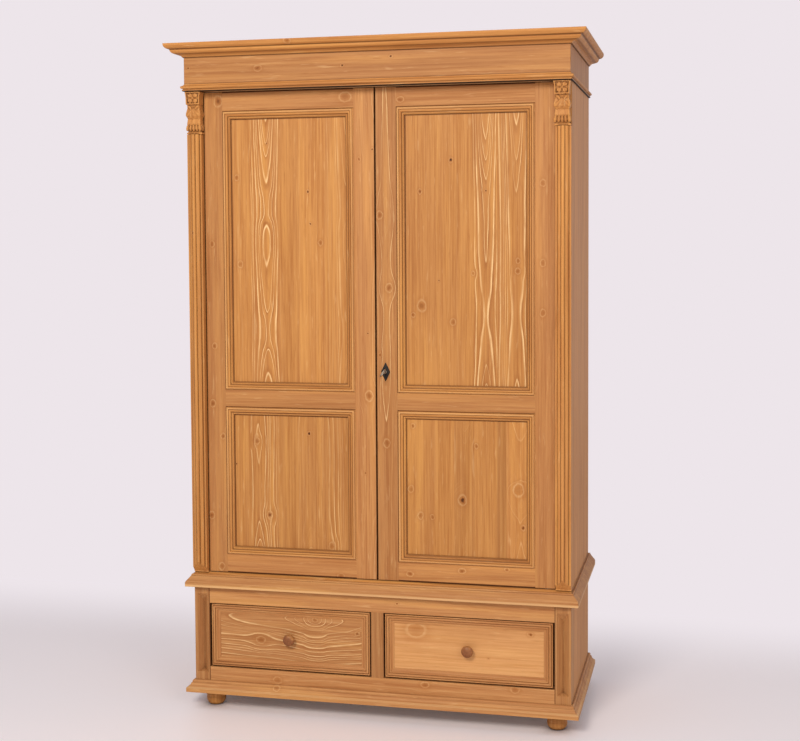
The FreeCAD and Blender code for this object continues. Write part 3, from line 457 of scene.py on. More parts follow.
        halo = addNode(tree, "MapRange SMOOTHSTEP", {0: nearest, 1: 0.9, 2: 3.0, 3: 0.85, 4: 0.0})
        around = addNode(tree, "Math MULTIPLY", {0: halo, 1: stain})
        brown = addNode(tree, "Math MULTIPLY", {0: core, 1: 1.5, "use_clamp": True})
        black = addNode(tree, "MapRange", {0: core, 1: 0.5, 2: 1.0})
        layers += [(around, "halo"), (brown, "knot"), (black, "knotHeart")]
    for share, hue in layers:
        colour = addNode(tree, "Mix RGBA", {0: share, 6: colour.outputs[2], 7: linear(look[hue])})
    level = addNode(tree, "MapRange",
                    {0: tone, 3: 0.86 * look["tint"], 4: 1.14 * look["tint"], "clamp": False})
    colour = addNode(tree, "VectorMath SCALE", {0: colour.outputs[2], "Scale": level})

    # corners and dark lines: partly wax left in the corners of the mouldings, partly painted shade where an
    # occlusion test finds a hollow, and painted shadow along gaps and under mouldings
    corner = addNode(tree, "AmbientOcclusion", {"samples": 4, "Distance": look["cavityMm"] * mm})
    tight, clear = look["cavityAt"]
    dark = addNode(tree, "MapRange", {0: corner.outputs["AO"], 1: tight, 2: clear, 3: look["cavity"], 4: 0.0})
    for outline in look["waxAndShadeLines"]:
        dark = addNode(tree, "Math MAXIMUM", {0: dark, 1: edgeLine(tree, place, outline)})
    colour = addNode(tree, "Mix RGBA", {0: dark, 6: colour, 7: linear(look["waxAndShade"])})

    # and pale lines along edges and crests: partly rubbed pale by use, partly painted highlight
    for outline in look["wearAndHighlightLines"]:
        colour = addNode(tree, "Mix RGBA",
                         {0: edgeLine(tree, place, outline), 6: colour.outputs[2], 7: linear(look["line"])})

    gloss = addNode(tree, "MapRange", {0: fibre, 3: look["roughness"] + 0.08, 4: look["roughness"] - 0.04})
    relief = addNode(tree, "Math MULTIPLY_ADD", {0: fibre, 1: 0.35, 2: line})
    edge = addNode(tree, "Bevel", {"samples": 4, "Radius": 0.9 * mm})
    bump = addNode(tree, "Bump",
                   {"Strength": 0.35, "Distance": 0.25 * mm, "Height": relief, "Normal": edge})
    shader = addNode(tree, "BsdfPrincipled",
                     {"IOR": 1.45, "Specular IOR Level": 0.2, "Base Color": colour.outputs[2],
                      "Roughness": gloss, "Normal": bump})
    addNode(tree, "OutputMaterial", {0: shader})
    return material


def dress(names, material):
    for name in names:
        node = nodes[name]
        for i in range(len(node.material_slots)):
            node.material_slots[i].material = material
        if not node.material_slots:
            node.data.materials.append(material)


def levelLine(z, reach, dark, top=3000):
    # a level line across the whole front at z mm, and at top where that is given: dark for wax and painted
    # shade, pale for wear and painted highlight
    return {"x": (-900, 900), "z": (z, top), "reach": reach, "dark": dark}


def planks(low, high, count, seed, bold=0.35):
    # boards of uneven width glued edge to edge, each cut at its own place in a trunk
    chooser = random.Random(seed)
    edges = [low + (high - low) * (i + chooser.uniform(-0.2, 0.2)) / count for i in range(count)]
    edges[0] = low
    rows = []
    for edge in edges:
        rows.append((edge, chooser.uniform(0.3, 0.7), edge + chooser.uniform(-90, 190),
                     chooser.uniform(0.5, 2.4), chooser.uniform(0.1, bold * 2)))
    return rows


# the frames are a little duller and rosier than the panels, the base browner
frameWood = {"base": "#C58D54", "soft": "#A76D3C", "gold": "#D59A57", "blush": 0.3}
baseWood = {"base": "#C9935C", "soft": "#A86E3D", "gold": "#D9A25E", "blush": 0.25}

# each knot is its place across and up, its radius, how dark it is and how far it bends the grain
panelLeftUpper = {
    "span": (-475, -55), "wave": 0.7, "bold": 1.5, "tint": 0.97,
    "boards": [(-475, 0.52, -330, 1.9, 0.35), (-384, 0.56, -334, 1.0, 1.0), (-296, 0.46, -100, 2.0, 0.1),
               (-237, 0.58, -330, 2.0, 0.3), (-154, 0.5, -84, 0.9, 0.45)],
    "heart": [(1000, 29), (1086, 39), (1150, 44), (1226, 39), (1345, 32), (1413, 27.5), (1469, 32),
              (1502, 38), (1600, 31), (1700, 22), (1790, 13)],
    "knots": [(-426, 1608, 7, 0.35, 0.6), (-331, 1707, 3, 0.95, 0.4), (-205, 1564, 4, 1.0, 0.5),
              (-198, 1469, 3.5, 1.0, 0.5), (-168, 1413, 7, 0.4, 0.6), (-418, 1350, 8, 0.25, 0.7)]}
panelRightUpper = {
    "span": (55, 475), "tint": 0.93, "wave": 0.8, "bold": 1.4,
    "boards": [(55, 0.5, 300, 2.6, 0.2), (182, 0.52, 60, 2.4, 0.28), (284, 0.52, 325, 1.0, 1.0),
               (356, 0.5, 413, 0.9, 0.9)],
    "heart": [(1000, 32), (1132, 41), (1215, 45), (1296, 41), (1400, 37), (1560, 33), (1678, 26),
              (1800, 17)],
    "knots": [(223, 1649, 6, 1.0, 0.7), (132, 1559, 6, 0.7, 0.7), (325, 1560, 3.5, 1.0, 0.7),
              (187, 1302, 3, 0.9, 0.5), (136, 1229, 13, 0.42, 0.8), (110, 1202, 6, 0.5, 0.5),
              (228, 1183, 8, 0.3, 0.6), (417, 1359, 6, 0.4, 0.8), (417, 1330, 7, 0.35, 0.8),
              (287, 1324, 5, 0.2, 0.9)]}
panelLeftLower = {
    "span": (-475, -55), "tint": 0.91, "bold": 1.2,
    "boards": [(-475, 0.55, -250, 2.2, 0.3), (-392, 0.55, -366, 0.9, 0.7), (-304, 0.42, -100, 2.4, 0.1),
               (-248, 0.5, -205, 1.4, 0.4), (-161, 0.5, -170, 1.3, 0.75)],
    "heart": [(470, 30), (560, 40), (640, 43), (820, 38), (925, 45)],
    "knots": [(-371, 820, 8, 0.42, 0.8), (-209, 847, 5.5, 1.0, 0.7), (-438, 750, 3, 1.0, 0.5),
              (-333, 597, 9, 0.62, 0.8), (-81, 876, 4, 0.9, 0.5), (-141, 512, 9, 0.25, 0.8)]}
panelRightLower = {
    "span": (55, 475), "tint": 0.93,
    "boards": [(55, 0.5, -90, 2.6, 0.25), (229, 0.32, 262, 1.4, 0.45), (288, 0.5, 180, 2.2, 0.35),
               (355, 0.12, 250, 2.4, 0.1), (382, 0.75, 425, 1.5, 0.5)],
    "heart": [(470, 34), (600, 40), (660, 30), (760, 42), (925, 30)],
    "knots": [(254, 665, 12, 0.85, 0.9), (295, 823, 6, 0.4, 0.7), (431, 591, 6, 0.75, 0.6),
              (101, 692, 8, 0.22, 0.7), (108, 878, 6, 0.5, 0.5), (418, 700, 15, 0.12, 0.9),
              (129, 615, 8, 0.3, 0.6), (165, 612, 6, 0.35, 0.5)]}
stilesLeftDoor = {
    "span": (-530, 10), "tint": 0.98, **frameWood,
    "boards": [(-530, 0.3, -600, 1.4, 0.25), (-300, 0.66, 22, 1.5, 0.5)],
    "knots": [(-504, 1411, 7, 0.35, 0.7), (-500, 1105, 7, 0.4, 0.7), (-508, 931, 9, 0.5, 0.8),
              (-477, 833, 7, 0.45, 0.6), (-516, 591, 9, 0.45, 0.8), (-486, 436, 9, 0.3, 0.8),
              (-480, 1835, 13, 0.62, 0.9), (-47, 1656, 5, 0.5, 0.7), (-8, 1684, 4, 0.9, 0.5),
              (-22, 964, 12, 0.45, 0.9), (-34, 735, 4, 0.6, 0.5), (-24, 1148, 3, 0.9, 0.5)]}
stilesRightDoor = {
    "span": (-10, 530), "tint": 0.93, "boards": [(-10, 0.46, 30, 0.8, 0.7), (300, 0.68, 560, 1.4, 0.25)],
    **frameWood,
    "heart": [(420, 48), (830, 47), (1085, 40), (1200, 44), (1281, 36), (1365, 41), (1493, 27), (1590, 40),
              (1861, 47)],
    "knots": [(13, 1493, 9, 0.4, 0.8), (40, 1281, 10, 0.45, 0.85), (12, 1085, 5, 0.5, 0.5),
              (31, 826, 10, 0.35, 0.8), (489, 1579, 8, 0.16, 0.9), (489, 1353, 8, 0.18, 0.9),
              (489, 1211, 8, 0.18, 0.9)]}
railsDoors = {
    "way": "level", "span": (410, 1870), **frameWood, "tint": 0.98,
    "boards": [(410, 0.62, 540, 1.6, 0.25), (900, 0.34, 1060, 2.0, 0.25), (1700, 0.5, 1900, 1.7, 0.3)],
    "knots": [(98, 442, 8, 0.5, 0.7), (253, 458, 8, 0.5, 0.7), (385, 468, 6, 0.4, 0.6),
              (-112, 425, 8, 0.3, 0.8), (76, 1825, 8, 0.5, 0.8), (-88, 1837, 14, 0.3, 0.8)]}
# the frieze: a black band along its foot at 1863 and dark lines at 1884 and 1962, painted shadow under the bead
# and the cornice
friezeBoard = {
    "way": "level", "span": (1860, 1965), "tint": 0.87, **frameWood,
    "waxAndShadeLines": [levelLine(1884, 3.0, 0.4, 1962), levelLine(1863, 5.0, 1.0)], "waxAndShade": "#1E0F07",
    "boards": [(1860, 0.5, 2020, 1.3, 0.3)], "cavityMm": 12,
    "heart": [(-571, 50), (-342, 40), (-200, 48), (59, 44), (300, 56), (571, 34)],
    "knots": [(-342, 1924, 9, 0.55, 0.9), (-86, 1923, 4.5, 1.0, 0.6), (59, 1945, 4.5, 1.0, 0.6),
              (-558, 1931, 3.5, 0.8, 0.5)]}
drawerLeftBoard = {
    "way": "level", "span": (120, 330), "tint": 0.93, "ring": 9.5, "wave": 1.4, "bold": 1.3, "far": 0.9,
    "calm": 0.7, **baseWood, "boards": [(120, 0.5, 288, 1.0, 1.0)],
    "heart": [(-515, 70), (-420, 60), (-300, 50), (-235, 34), (-194, 16), (-150, 36), (-60, 56), (-20, 78)],
    "knots": [(-194, 287, 6, 0.3, 0.5), (-364, 217, 11, 0.4, 0.8), (-63, 253, 6, 0.6, 0.7)]}
drawerRightBoard = {
    "way": "level", "span": (120, 330), "tint": 1.04, "base": "#D6A068", "soft": "#C38C52", "gold": "#DDAA6E",
    "boards": [(120, 0.6, 60, 2.4, 0.35), (262, 0.5, 360, 2.2, 0.3)],
    "knots": [(453, 283, 6, 0.62, 0.7), (115, 276, 22, 0.12, 0.3), (330, 205, 3, 0.3, 0.4)]}

# where the mouldings lie on the doors: across, and up for the lower and the upper panel, with their width,
# how far their lines are shifted down and to the right as painted shadow falls from the upper left, the depth
# past which a panel's back begins, and the doors' own outline
openings = {"across": (63.7, 466.8), "lower": (475.3, 923.6), "upper": (974.1, 1805.5), "width": 24.0,
            "shift": 1.3, "front": -200.0, "door": (2.4, 523.8), "doorUp": (419.8, 1861.5)}


def besideMoulding(side, panel, inset, reach, dark):
    # the outline of one panel's moulding, drawn in by inset mm
    low, high = openings["across"]
    across = (-high, -low) if side == "left" else (low, high)
    up = openings[panel]
    # the lines are shifted down and to the right as shadows fall from a light at the upper left: under a
    # moulding's top and left parts the painted shadow lies on the panel, beside the others on the frame
    shift = openings["shift"]
    return {"x": (across[0] + inset + shift, across[1] - inset + shift),
            "z": (up[0] + inset - shift, up[1] - inset - shift), "reach": reach, "dark": dark}


for side, panel, wood in (("left", "upper", panelLeftUpper), ("right", "upper", panelRightUpper),
                          ("left", "lower", panelLeftLower), ("right", "lower", panelRightLower)):
    # a dark line on each panel along its moulding's inner edge: painted shadow of the moulding on the panel
    wood["waxAndShadeLines"] = [dict(besideMoulding(side, panel, openings["width"], 2.8, 0.75),
                             front=openings["front"])]
    dress(["door_%s_%s_panel" % (side, panel)],
          spruceMaterial("waxed spruce panel, %s %s" % (side, panel), wood))
low, high = openings["door"]
for stiles, across in ((stilesLeftDoor, (-high, -low)), (stilesRightDoor, (low, high))):
    # a faint dark line round each door's outline: painted shade in the gaps beside the door
    stiles["waxAndShadeLines"] = [{"x": across, "z": openings["doorUp"], "reach": 1.8, "dark": 0.35}]
foot, head = openings["doorUp"]
# a black line along the doors' foot and head: painted shadow in the gaps above the floor board and under the
# bead
railsDoors["waxAndShadeLines"] = [levelLine(foot, 4.4, 1.0, head)]
dress(["door_left_stiles"], spruceMaterial("waxed spruce stiles, left", stilesLeftDoor))
dress(["door_right_stiles"], spruceMaterial("waxed spruce stiles, right", stilesRightDoor))
dress(["door_left_rails", "door_right_rails"], spruceMaterial("waxed spruce door rails", railsDoors))
dress(["frieze"],
      spruceMaterial("waxed spruce frieze",
                     dict(friezeBoard, strips={"way": "side", "corner": (549, -226)})))
dress(["drawer_left_front"], spruceMaterial("waxed spruce drawer front, left", drawerLeftBoard))
dress(["drawer_right_front"], spruceMaterial("waxed spruce drawer front, right", drawerRightBoard))
dress(["base_rails"], spruceMaterial("waxed spruce base rails", {
    "way": "level", "span": (50, 400), "tint": 1.0, **baseWood,
    "boards": [(50, 0.56, 150, 1.6, 0.4), (300, 0.5, 420, 2.2, 0.3)],
    "knots": [(-310, 100, 10, 0.2, 0.8), (143, 117, 9, 0.3, 0.8), (409, 121, 10, 0.22, 0.8),
              (60, 353, 4, 0.6, 0.6)]}))
# posts: painted shade deep in the V grooves, and dark joint lines at the edges of the posts and the divider
dress(["base_post_left", "base_post_right", "base_divider"], spruceMaterial("waxed spruce posts", {
    "span": (-600, 600), "tint": 0.88, **baseWood, "cavity": 0.8, "cavityMm": 22, "cavityAt": (0.2, 0.75),
    "waxAndShadeLines": [{"x": (-523.3, 523.3), "z": (-900, 3000), "reach": 3.4, "dark": 0.75},
                 {"x": (-19.3, 19.3), "z": (-900, 3000), "reach": 2.4, "dark": 0.5}],
    "boards": [(-600, 0.4, -640, 1.5, 0.3), (-300, 0.3, 160, 2.0, 0.2), (300, 0.5, 600, 1.6, 0.5)]}))
dress(["cabinet_side_left", "cabinet_side_right", "base_side_left", "base_side_right"],
      spruceMaterial("waxed spruce sides",
                     {"way": "side", "tint": 1.05, "span": (-230, 310),
                      "boards": planks(-230, 310, 6, 3, 0.3)}))
# pilasters: strong painted shade in the hollows of the flutes
dress(["pilaster_left", "pilaster_right"], spruceMaterial("waxed spruce pilasters", {
    "span": (-600, 600), "tint": 1.02, "boards": [(-600, 0.42, -680, 1.6, 0.3), (0, 0.78, 680, 1.8, 0.3)],
    "cavity": 0.9, "cavityMm": 5, "cavityAt": (0.3, 0.9), "knots": [(-553, 1445, 4, 0.8, 0.5)]}))
# the cornice: painted shade in its hollows, and dark lines at 1962, 1971.2 and 1983.3, painted shadow under its
# members
dress(["cornice"], spruceMaterial("waxed spruce cornice", {
    "way": "level", "span": (1950, 2010), "boards": [(1950, 0.5, 1860, 1.6, 0.3)],
    "knots": [(-237, 1994, 8, 0.45, 0.8)], "tint": 1.03, "cavityMm": 7, "cavity": 0.6,
    "cavityAt": (0.15, 0.6), "waxAndShadeLines": [levelLine(1962, 2.2, 0.6, 1983.3), levelLine(1971.2, 1.6, 0.35)],
    "strips": {"way": "side", "corner": (571, -248)}}))
# the bead: a black line along its foot at 1863, painted shadow over the doors
dress(["bead_moulding"], spruceMaterial("waxed spruce bead", {
    "way": "level", "span": (1850, 1900), "boards": [(1850, 0.5, 1800, 1.8, 0.4)],
    "waxAndShadeLines": [levelLine(1863, 2.6, 1.0)], "waxAndShade": "#1E0F07", "cavity": 0.5,
    "strips": {"way": "side", "corner": (571, -248)}}))
# waist and plinth: strong painted shade in the hollows of their profiles, and a pale band along the lower lip,
# partly wear and partly painted highlight
dress(["waist_moulding"], spruceMaterial("waxed spruce waist", {
    "way": "level", "span": (360, 430), "tint": 0.94, "boards": [(360, 0.55, 260, 1.5, 0.35)],
    "cavityMm": 6, "cavityAt": (0.3, 0.85), "cavity": 0.9, **baseWood,
    "wearAndHighlightLines": [levelLine(379, 5.0, 0.42)], "strips": {"way": "side", "corner": (571, -219)}}))
dress(["plinth_moulding"], spruceMaterial("waxed spruce plinth", {
    "way": "level", "span": (40, 100), "boards": [(40, 0.5, 180, 1.5, 0.35)],
    "knots": [(-310, 78, 8, 0.2, 0.8)], "cavityMm": 6, "cavityAt": (0.3, 0.85), "cavity": 0.9, **baseWood,
    "wearAndHighlightLines": [levelLine(65, 3.0, 0.35)], "strips": {"way": "side", "corner": (571, -219)}}))
grooveMm = 8.0  # how far a panel goes into its frame
# the dark lines of a moulding, painted shade in its quirks and along its edges: how far in from its outer edge,
# reach and darkness
sunkLines = ((-1.5, 3.4, 0.8), (16.5, 2.2, 0.6), (openings["width"], 2.6, 0.5))
for side in ("left", "right"):
    lower, upper = [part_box("door_%s_%s_panel" % (side, part)) for part in ("lower", "upper")]
    outer = [(pair[0][axis] / mm + grooveMm, pair[1][axis] / mm - grooveMm)
             for pair, axis in ((lower, 0), (lower, 2), (upper, 2))]
    dress(["door_%s_mouldings" % side], spruceMaterial("waxed spruce door moulding, " + side, {
        "way": "level", "span": (400, 1900), "tint": 1.0, "wave": 0.6, "cavity": 0.3, "cavityMm": 5,
        "waxAndShadeLines": [besideMoulding(side, panel, *sunk) for panel in ("lower", "upper")
                     for sunk in sunkLines],
        # a pale line near the outer crest: partly wear, partly painted highlight
        "wearAndHighlightLines": [besideMoulding(side, panel, 5.0, 4.0, 0.2) for panel in ("lower", "upper")],
        "boards": [(400, 0.5, 300, 1.6, 0.35), (1000, 0.5, 1300, 1.6, 0.35)],
        "strips": {"way": "upright", "x": outer[0], "z": outer[1], "upperZ": outer[2]}}))
    low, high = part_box("drawer_%s_frame" % side)
    # painted shade in the hollows of the drawer mouldings
    dress(["drawer_%s_frame" % side], spruceMaterial("waxed spruce drawer moulding, " + side, {
        "way": "level", "span": (100, 350), "wave": 0.6, "boards": [(100, 0.5, 0, 1.8, 0.3)], "cavityMm": 9,
        "cavity": 0.4, **baseWood,
        "strips": {"way": "upright", "x": (low.x / mm, high.x / mm), "z": (low.z / mm, high.z / mm)}}))
# the capitals: strong painted shade in the hollows of the carving
dress(["capital_left", "capital_right"], spruceMaterial("carved spruce capital", {
    "span": (-600, 600), "boards": [(-600, 0.5, -640, 1.6, 0.3)],
    "cavity": 0.95, "cavityMm": 5, "cavityAt": (0.6, 0.98), "tint": 1.02}))
dress(["bun_feet"], spruceMaterial("turned spruce feet", {
    "span": (-600, 600), "tint": 0.9, "boards": [(-600, 0.5, -640, 1.6, 0.3)]}))
rawWood = {"base": "#DDB887", "soft": "#D2A873", "line": "#C08D55", "shade": "#C39A66", "halo": "#B98850",
           "roughness": 0.62, "cavity": 0.2}
dress(["back_boards", "base_back"], spruceMaterial("planed spruce back boards", dict(
    rawWood, span=(-549, 549), boards=planks(-549, 549, 8, 8, 0.4))))
# a dark line at 418 along the floor board: painted shadow under the doors' foot
dress(["cabinet_floor"], spruceMaterial("waxed spruce floor board", {
    "waxAndShadeLines": [levelLine(418, 2.0, 0.4)],
    "way": "flat", "span": (-240, 310), "boards": planks(-240, 310, 5, 12, 0.3)}))
# the top board: painted shade reaching 40 mm, which darkens its underside behind the frieze
dress(["cabinet_top"], spruceMaterial("planed spruce top board", dict(
    rawWood, way="flat", span=(-240, 310), boards=planks(-240, 310, 5, 17, 0.4), cavity=0.9, cavityMm=40)))
dress(["hat_shelf", "drawer_left_bottom", "drawer_right_bottom", "shelf_cleats"],
      spruceMaterial("planed spruce shelves",
                     dict(rawWood, way="flat", span=(-240, 310), boards=planks(-240, 310, 5, 12, 0.4))))
dress(["drawer_left_box", "drawer_right_box", "drawer_runners", "drawer_kickers", "foot_blocks",
       "rail_sockets"],
      spruceMaterial("planed spruce drawer sides",
                     dict(rawWood, way="deep", span=(-600, 600), boards=planks(-600, 600, 8, 21, 0.4))))
dress(["clothes_rail"], spruceMaterial("turned spruce clothes rail", dict(
    rawWood, way="level", span=(1500, 1550), boards=[(1500, 0.5, 1480, 1.4, 0.4)])))
dress(["drawer_left_knob", "drawer_right_knob"], spruceMaterial("turned beech knob, brown wax", {
    "way": "deep", "span": (-600, 600), "boards": [(-600, 0.5, -640, 1.6, 0.2)], "base": "#8E5A39",
    "soft": "#804F30", "line": "#A26E47", "shade": "#6E4025", "roughness": 0.34}))


def metalMaterial(name, metal):
    material, tree = newMaterial(name)
    coordinates = addNode(tree, "TexCoord")
    grit = addNode(tree, "TexNoise",
                   {0: coordinates.outputs["Object"], "Scale": 1 / (metal["gritMm"] * mm), "Detail": 5.0})
    cloud = addNode(tree, "TexNoise",
                    {0: coordinates.outputs["Object"], "Scale": 1 / (metal["cloudMm"] * mm), "Detail": 3.0})
    colour = addNode(tree, "Mix RGBA", {0: cloud, 6: linear(metal["dark"]), 7: linear(metal["light"])})
    gloss = addNode(tree, "MapRange", {0: cloud, 3: metal["roughness"] - 0.1, 4: metal["roughness"] + 0.15})
    edge = addNode(tree, "Bevel", {"samples": 4, "Radius": 0.4 * mm})
    bump = addNode(tree, "Bump", {"Strength": 0.25, "Distance": 0.1 * mm, "Height": grit, "Normal": edge})
    shader = addNode(tree, "BsdfPrincipled",
                     {"Metallic": metal["metallic"], "Base Color": colour.outputs[2], "Roughness": gloss,
                      "Normal": bump})
    addNode(tree, "OutputMaterial", {0: shader})
    return material


# forged iron blackened with oil: nearly black, a dull sheen on the edges
blackenedIron = metalMaterial("blackened iron",
                              {"dark": "#15120F", "light": "#2B2621", "gritMm": 0.8, "cloudMm": 9,
                               "roughness": 0.5, "metallic": 0.6})
# a steel key worn bright by hands, a little yellow from age
wornSteel = metalMaterial("worn steel key",
                          {"dark": "#6E675B", "light": "#B9B09E", "gritMm": 0.6, "cloudMm": 5,
                           "roughness": 0.34, "metallic": 0.9})
# cold drawn steel of the inside fittings, zinc grey
brightSteel = metalMaterial("zinc plated steel",
                            {"dark": "#8D8B86", "light": "#B9B7B1", "gritMm": 0.5, "cloudMm": 14,
                             "roughness": 0.36, "metallic": 0.9})
dress(["escutcheon"], blackenedIron)
dress(["key"], wornSteel)
dress(["lock_case", "lock_bolt", "lock_keeper", "top_bolt", "bottom_bolt", "bolt_brackets", "pivot_sockets",
       "door_left_pivots", "door_right_pivots"], brightSteel)
print("materials done:", len(bpy.data.materials))


# New pieces, modelled as by hand over the plain solids

facing = 0.9  # a face looks along an axis where its normal has this much of it
crease = math.radians(40)
budShape = {"segments": 20, "rings": 14, "levels": (0.1, 0.35, 0.55, 0.75), "shrink": (0.84, 0.9, 1)}


def freshStart():
    # out of edit mode with nothing selected
    if bpy.context.object and bpy.context.object.mode != "OBJECT":
        bpy.ops.object.mode_set(mode="OBJECT")
    bpy.ops.object.select_all(action="DESELECT")


def selectFaces(test):
    # in edit mode, selects the faces whose middle in mm and whose normal pass the test
    bpy.ops.mesh.select_mode(type="FACE")
    bpy.ops.mesh.select_all(action="DESELECT")
    data = bpy.context.edit_object.data
    mesh = bmesh.from_edit_mesh(data)
    for face in mesh.faces:
        face.select_set(test(face.calc_center_median() / mm, face.normal))
    bmesh.update_edit_mesh(data)


def drawOut(levels, axis, sign, centre):
    # draws the selected faces out through levels: how far along in mm, and how large both ways across
    across = [i for i in range(3) if i != axis]
    for before, after in zip(levels, levels[1:]):
        move, grow = Vector((0, 0, 0)), [1, 1, 1]
        move[axis] = sign * (after[0] - before[0]) * mm
        for i in (0, 1):
            grow[across[i]] = after[1 + i] / before[1 + i]
        bpy.ops.mesh.extrude_region_move(TRANSFORM_OT_translate={"value": move})
        bpy.ops.transform.resize(value=grow, center_override=centre)


def pick(piece):
    # selects one piece alone and makes it the active one
    bpy.ops.object.select_all(action="DESELECT")
    piece.select_set(True)
    bpy.context.view_layer.objects.active = piece


def applyPlace(piece):
    pick(piece)
    bpy.ops.object.transform_apply(location=True, rotation=True, scale=True)


def addBlock(place, size):
    # a block with its middle and its size in mm, the start of a piece or of a cutter
    freshStart()
    bpy.ops.mesh.primitive_cube_add(size=1, location=[at * mm for at in place],
                                    scale=[long * mm for long in size])
    block = bpy.context.object
    applyPlace(block)
    return block


def addDisc(sides, radius, high, place, rotation=(math.pi / 2, 0, 0)):
    # a low cylinder in mm, its axis along y unless told otherwise, the start of a turned piece
    freshStart()
    bpy.ops.mesh.primitive_cylinder_add(vertices=sides, radius=radius * mm, depth=high * mm,
                                        location=[at * mm for at in place], rotation=rotation)
    disc = bpy.context.object
    applyPlace(disc)
    return disc


def cutAway(piece, cutter, name):
    # takes the cutter's shape out of the piece
    pick(piece)
    cut = piece.modifiers.new(name, "BOOLEAN")
    cut.operation, cut.object, cut.solver = "DIFFERENCE", cutter, "EXACT"
    bpy.ops.object.modifier_apply(modifier=name)
    bpy.data.objects.remove(cutter)
    bpy.ops.object.shade_smooth_by_angle(angle=crease)


def turnOut(disc, levels, centre):
    # turns the rest of a round piece from the disc's front face, through levels of height and radius
    bpy.ops.object.mode_set(mode="EDIT")
    selectFaces(lambda at, normal: normal.y < -facing)
    drawOut([(at, radius, radius) for at, radius in levels], 1, -1, centre)
    bpy.ops.object.mode_set(mode="OBJECT")


def placeCopy(model, place, size=(1, 1, 1), turn=(0, 0, 0)):
    # a copy of a modelled form with its own mesh, at its place in mm, stretched and turned
    piece = model.copy()
    piece.data = model.data.copy()
    bpy.context.scene.collection.objects.link(piece)
    piece.location = Vector(place) * mm
    piece.scale = size
    piece.rotation_euler = [math.radians(angle) for angle in turn]
    applyPlace(piece)
    return piece


def joinPieces(pieces, name):
    bpy.ops.object.select_all(action="DESELECT")
    for piece in pieces:
        piece.select_set(True)
    bpy.context.view_layer.objects.active = pieces[0]
    if len(pieces) > 1:
        bpy.ops.object.join()
    pieces[0].name = name
    pieces[0].data.name = name
    return pieces[0]


def carveAsOne(piece, grainMm, soften):
    # the joined forms become one skin, as if carved from one block
    pick(piece)
    skin = piece.modifiers.new("skin", "REMESH")
    skin.mode, skin.voxel_size = "VOXEL", grainMm * mm
    bpy.ops.object.modifier_apply(modifier="skin")
    smooth = piece.modifiers.new("soften", "SMOOTH")
    smooth.factor, smooth.iterations = 0.5, soften
    bpy.ops.object.modifier_apply(modifier="soften")
    bpy.ops.object.shade_smooth()


def finishPiece(piece, body, replaced, material):
    piece.data.materials.clear()
    piece.data.materials.append(material)
    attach(piece, body)
    if replaced:
        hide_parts(*replaced)
    print("piece:", piece.name, len(piece.data.polygons), "faces")


def makeBud():
    # a bud 2 mm across and 2 mm long, thinner at its head, that petals, leaves and lobes are stretched from
    freshStart()
    bpy.ops.mesh.primitive_uv_sphere_add(segments=budShape["segments"], ring_count=budShape["rings"], radius=mm)
    bud = bpy.context.object
    bpy.ops.object.mode_set(mode="EDIT")
    for level in budShape["levels"]:
        selectFaces(lambda middle, normal: middle.z > level)
        bpy.ops.transform.resize(value=budShape["shrink"], center_override=(0, 0, 0))
    bpy.ops.object.mode_set(mode="OBJECT")
    return bud


# the carved capital: a block with a rosette in a sunk square, crossed leaves round the neck, and a hanging
# leaf of five lobes over a thin roll; every level is its place under the top, its width and its depth in mm
capitalCarving = {
    "middleX": 546.5, "top": 1862.7, "backY": -212.4, "deepY": -210.4, "reliefX": 527.0,
    "reliefOut": 24.0, "reliefSunk": 4.0, "grainMm": 0.65, "soften": 3,
    "levels": [(1.0, 48.0, 35.4), (17.6, 42.6, 35.0), (38.5, 42.0, 34.4), (39.0, 38.0, 29.4),
               (43.0, 37.2, 27.8), (50.0, 38.0, 27.4), (58.0, 42.6, 28.6), (65.0, 46.0, 29.4),
               (71.0, 46.4, 29.2), (76.5, 41.0, 26.0), (80.0, 39.4, 23.0), (84.5, 40.0, 23.6),
               (94.0, 42.0, 25.2), (106.0, 41.0, 24.4), (115.5, 38.0, 21.0), (119.2, 41.0, 18.6),
               (120.2, 47.2, 19.6), (122.8, 48.2, 20.4), (124.4, 47.6, 20.0), (125.4, 44.0, 18.6)],
    "windowMm": 3.4, "windowDepth": 3.8, "rosetteZ": 1843.2, "floorY": -243.6,
    "petalAngles": (33, 57), "petalOut": 10.8, "petal": (4.9, 3.5, 8.0), "button": (4.2, 4.0, 4.2),
    # crossed leaves: across from the middle, height, half width, depth, half length, lean
    "leaves": [(-11.5, 1799.5, 5.2, 4.2, 13.5, 40), (11.5, 1799.5, 5.2, 4.2, 13.5, -40),
               (-10.0, 1815.5, 4.4, 3.6, 13.0, 145), (10.0, 1815.5, 4.4, 3.6, 13.0, -145),
               (0.0, 1795.0, 3.4, 3.6, 8.0, 0), (0.0, 1819.0, 3.2, 3.0, 6.5, 180)],
    "leafY": -240.2, "curls": [(-19.0, 1793.5), (19.0, 1793.5)], "curl": (4.6, 4.6, 4.6),
    "lobes": (-18.6, -9.4, 0.0, 9.4, 18.6), "lobe": (5.5, 5.4, 11.5), "lobeY": -236.6, "lobeZ": 1757.6,
    "lobeLean": 9, "sideLobes": (-217.5, -226.5), "sideLobeX": 20.9, "sideLobe": (5.4 * 0.6, 5.5 * 0.9, 11.5)}


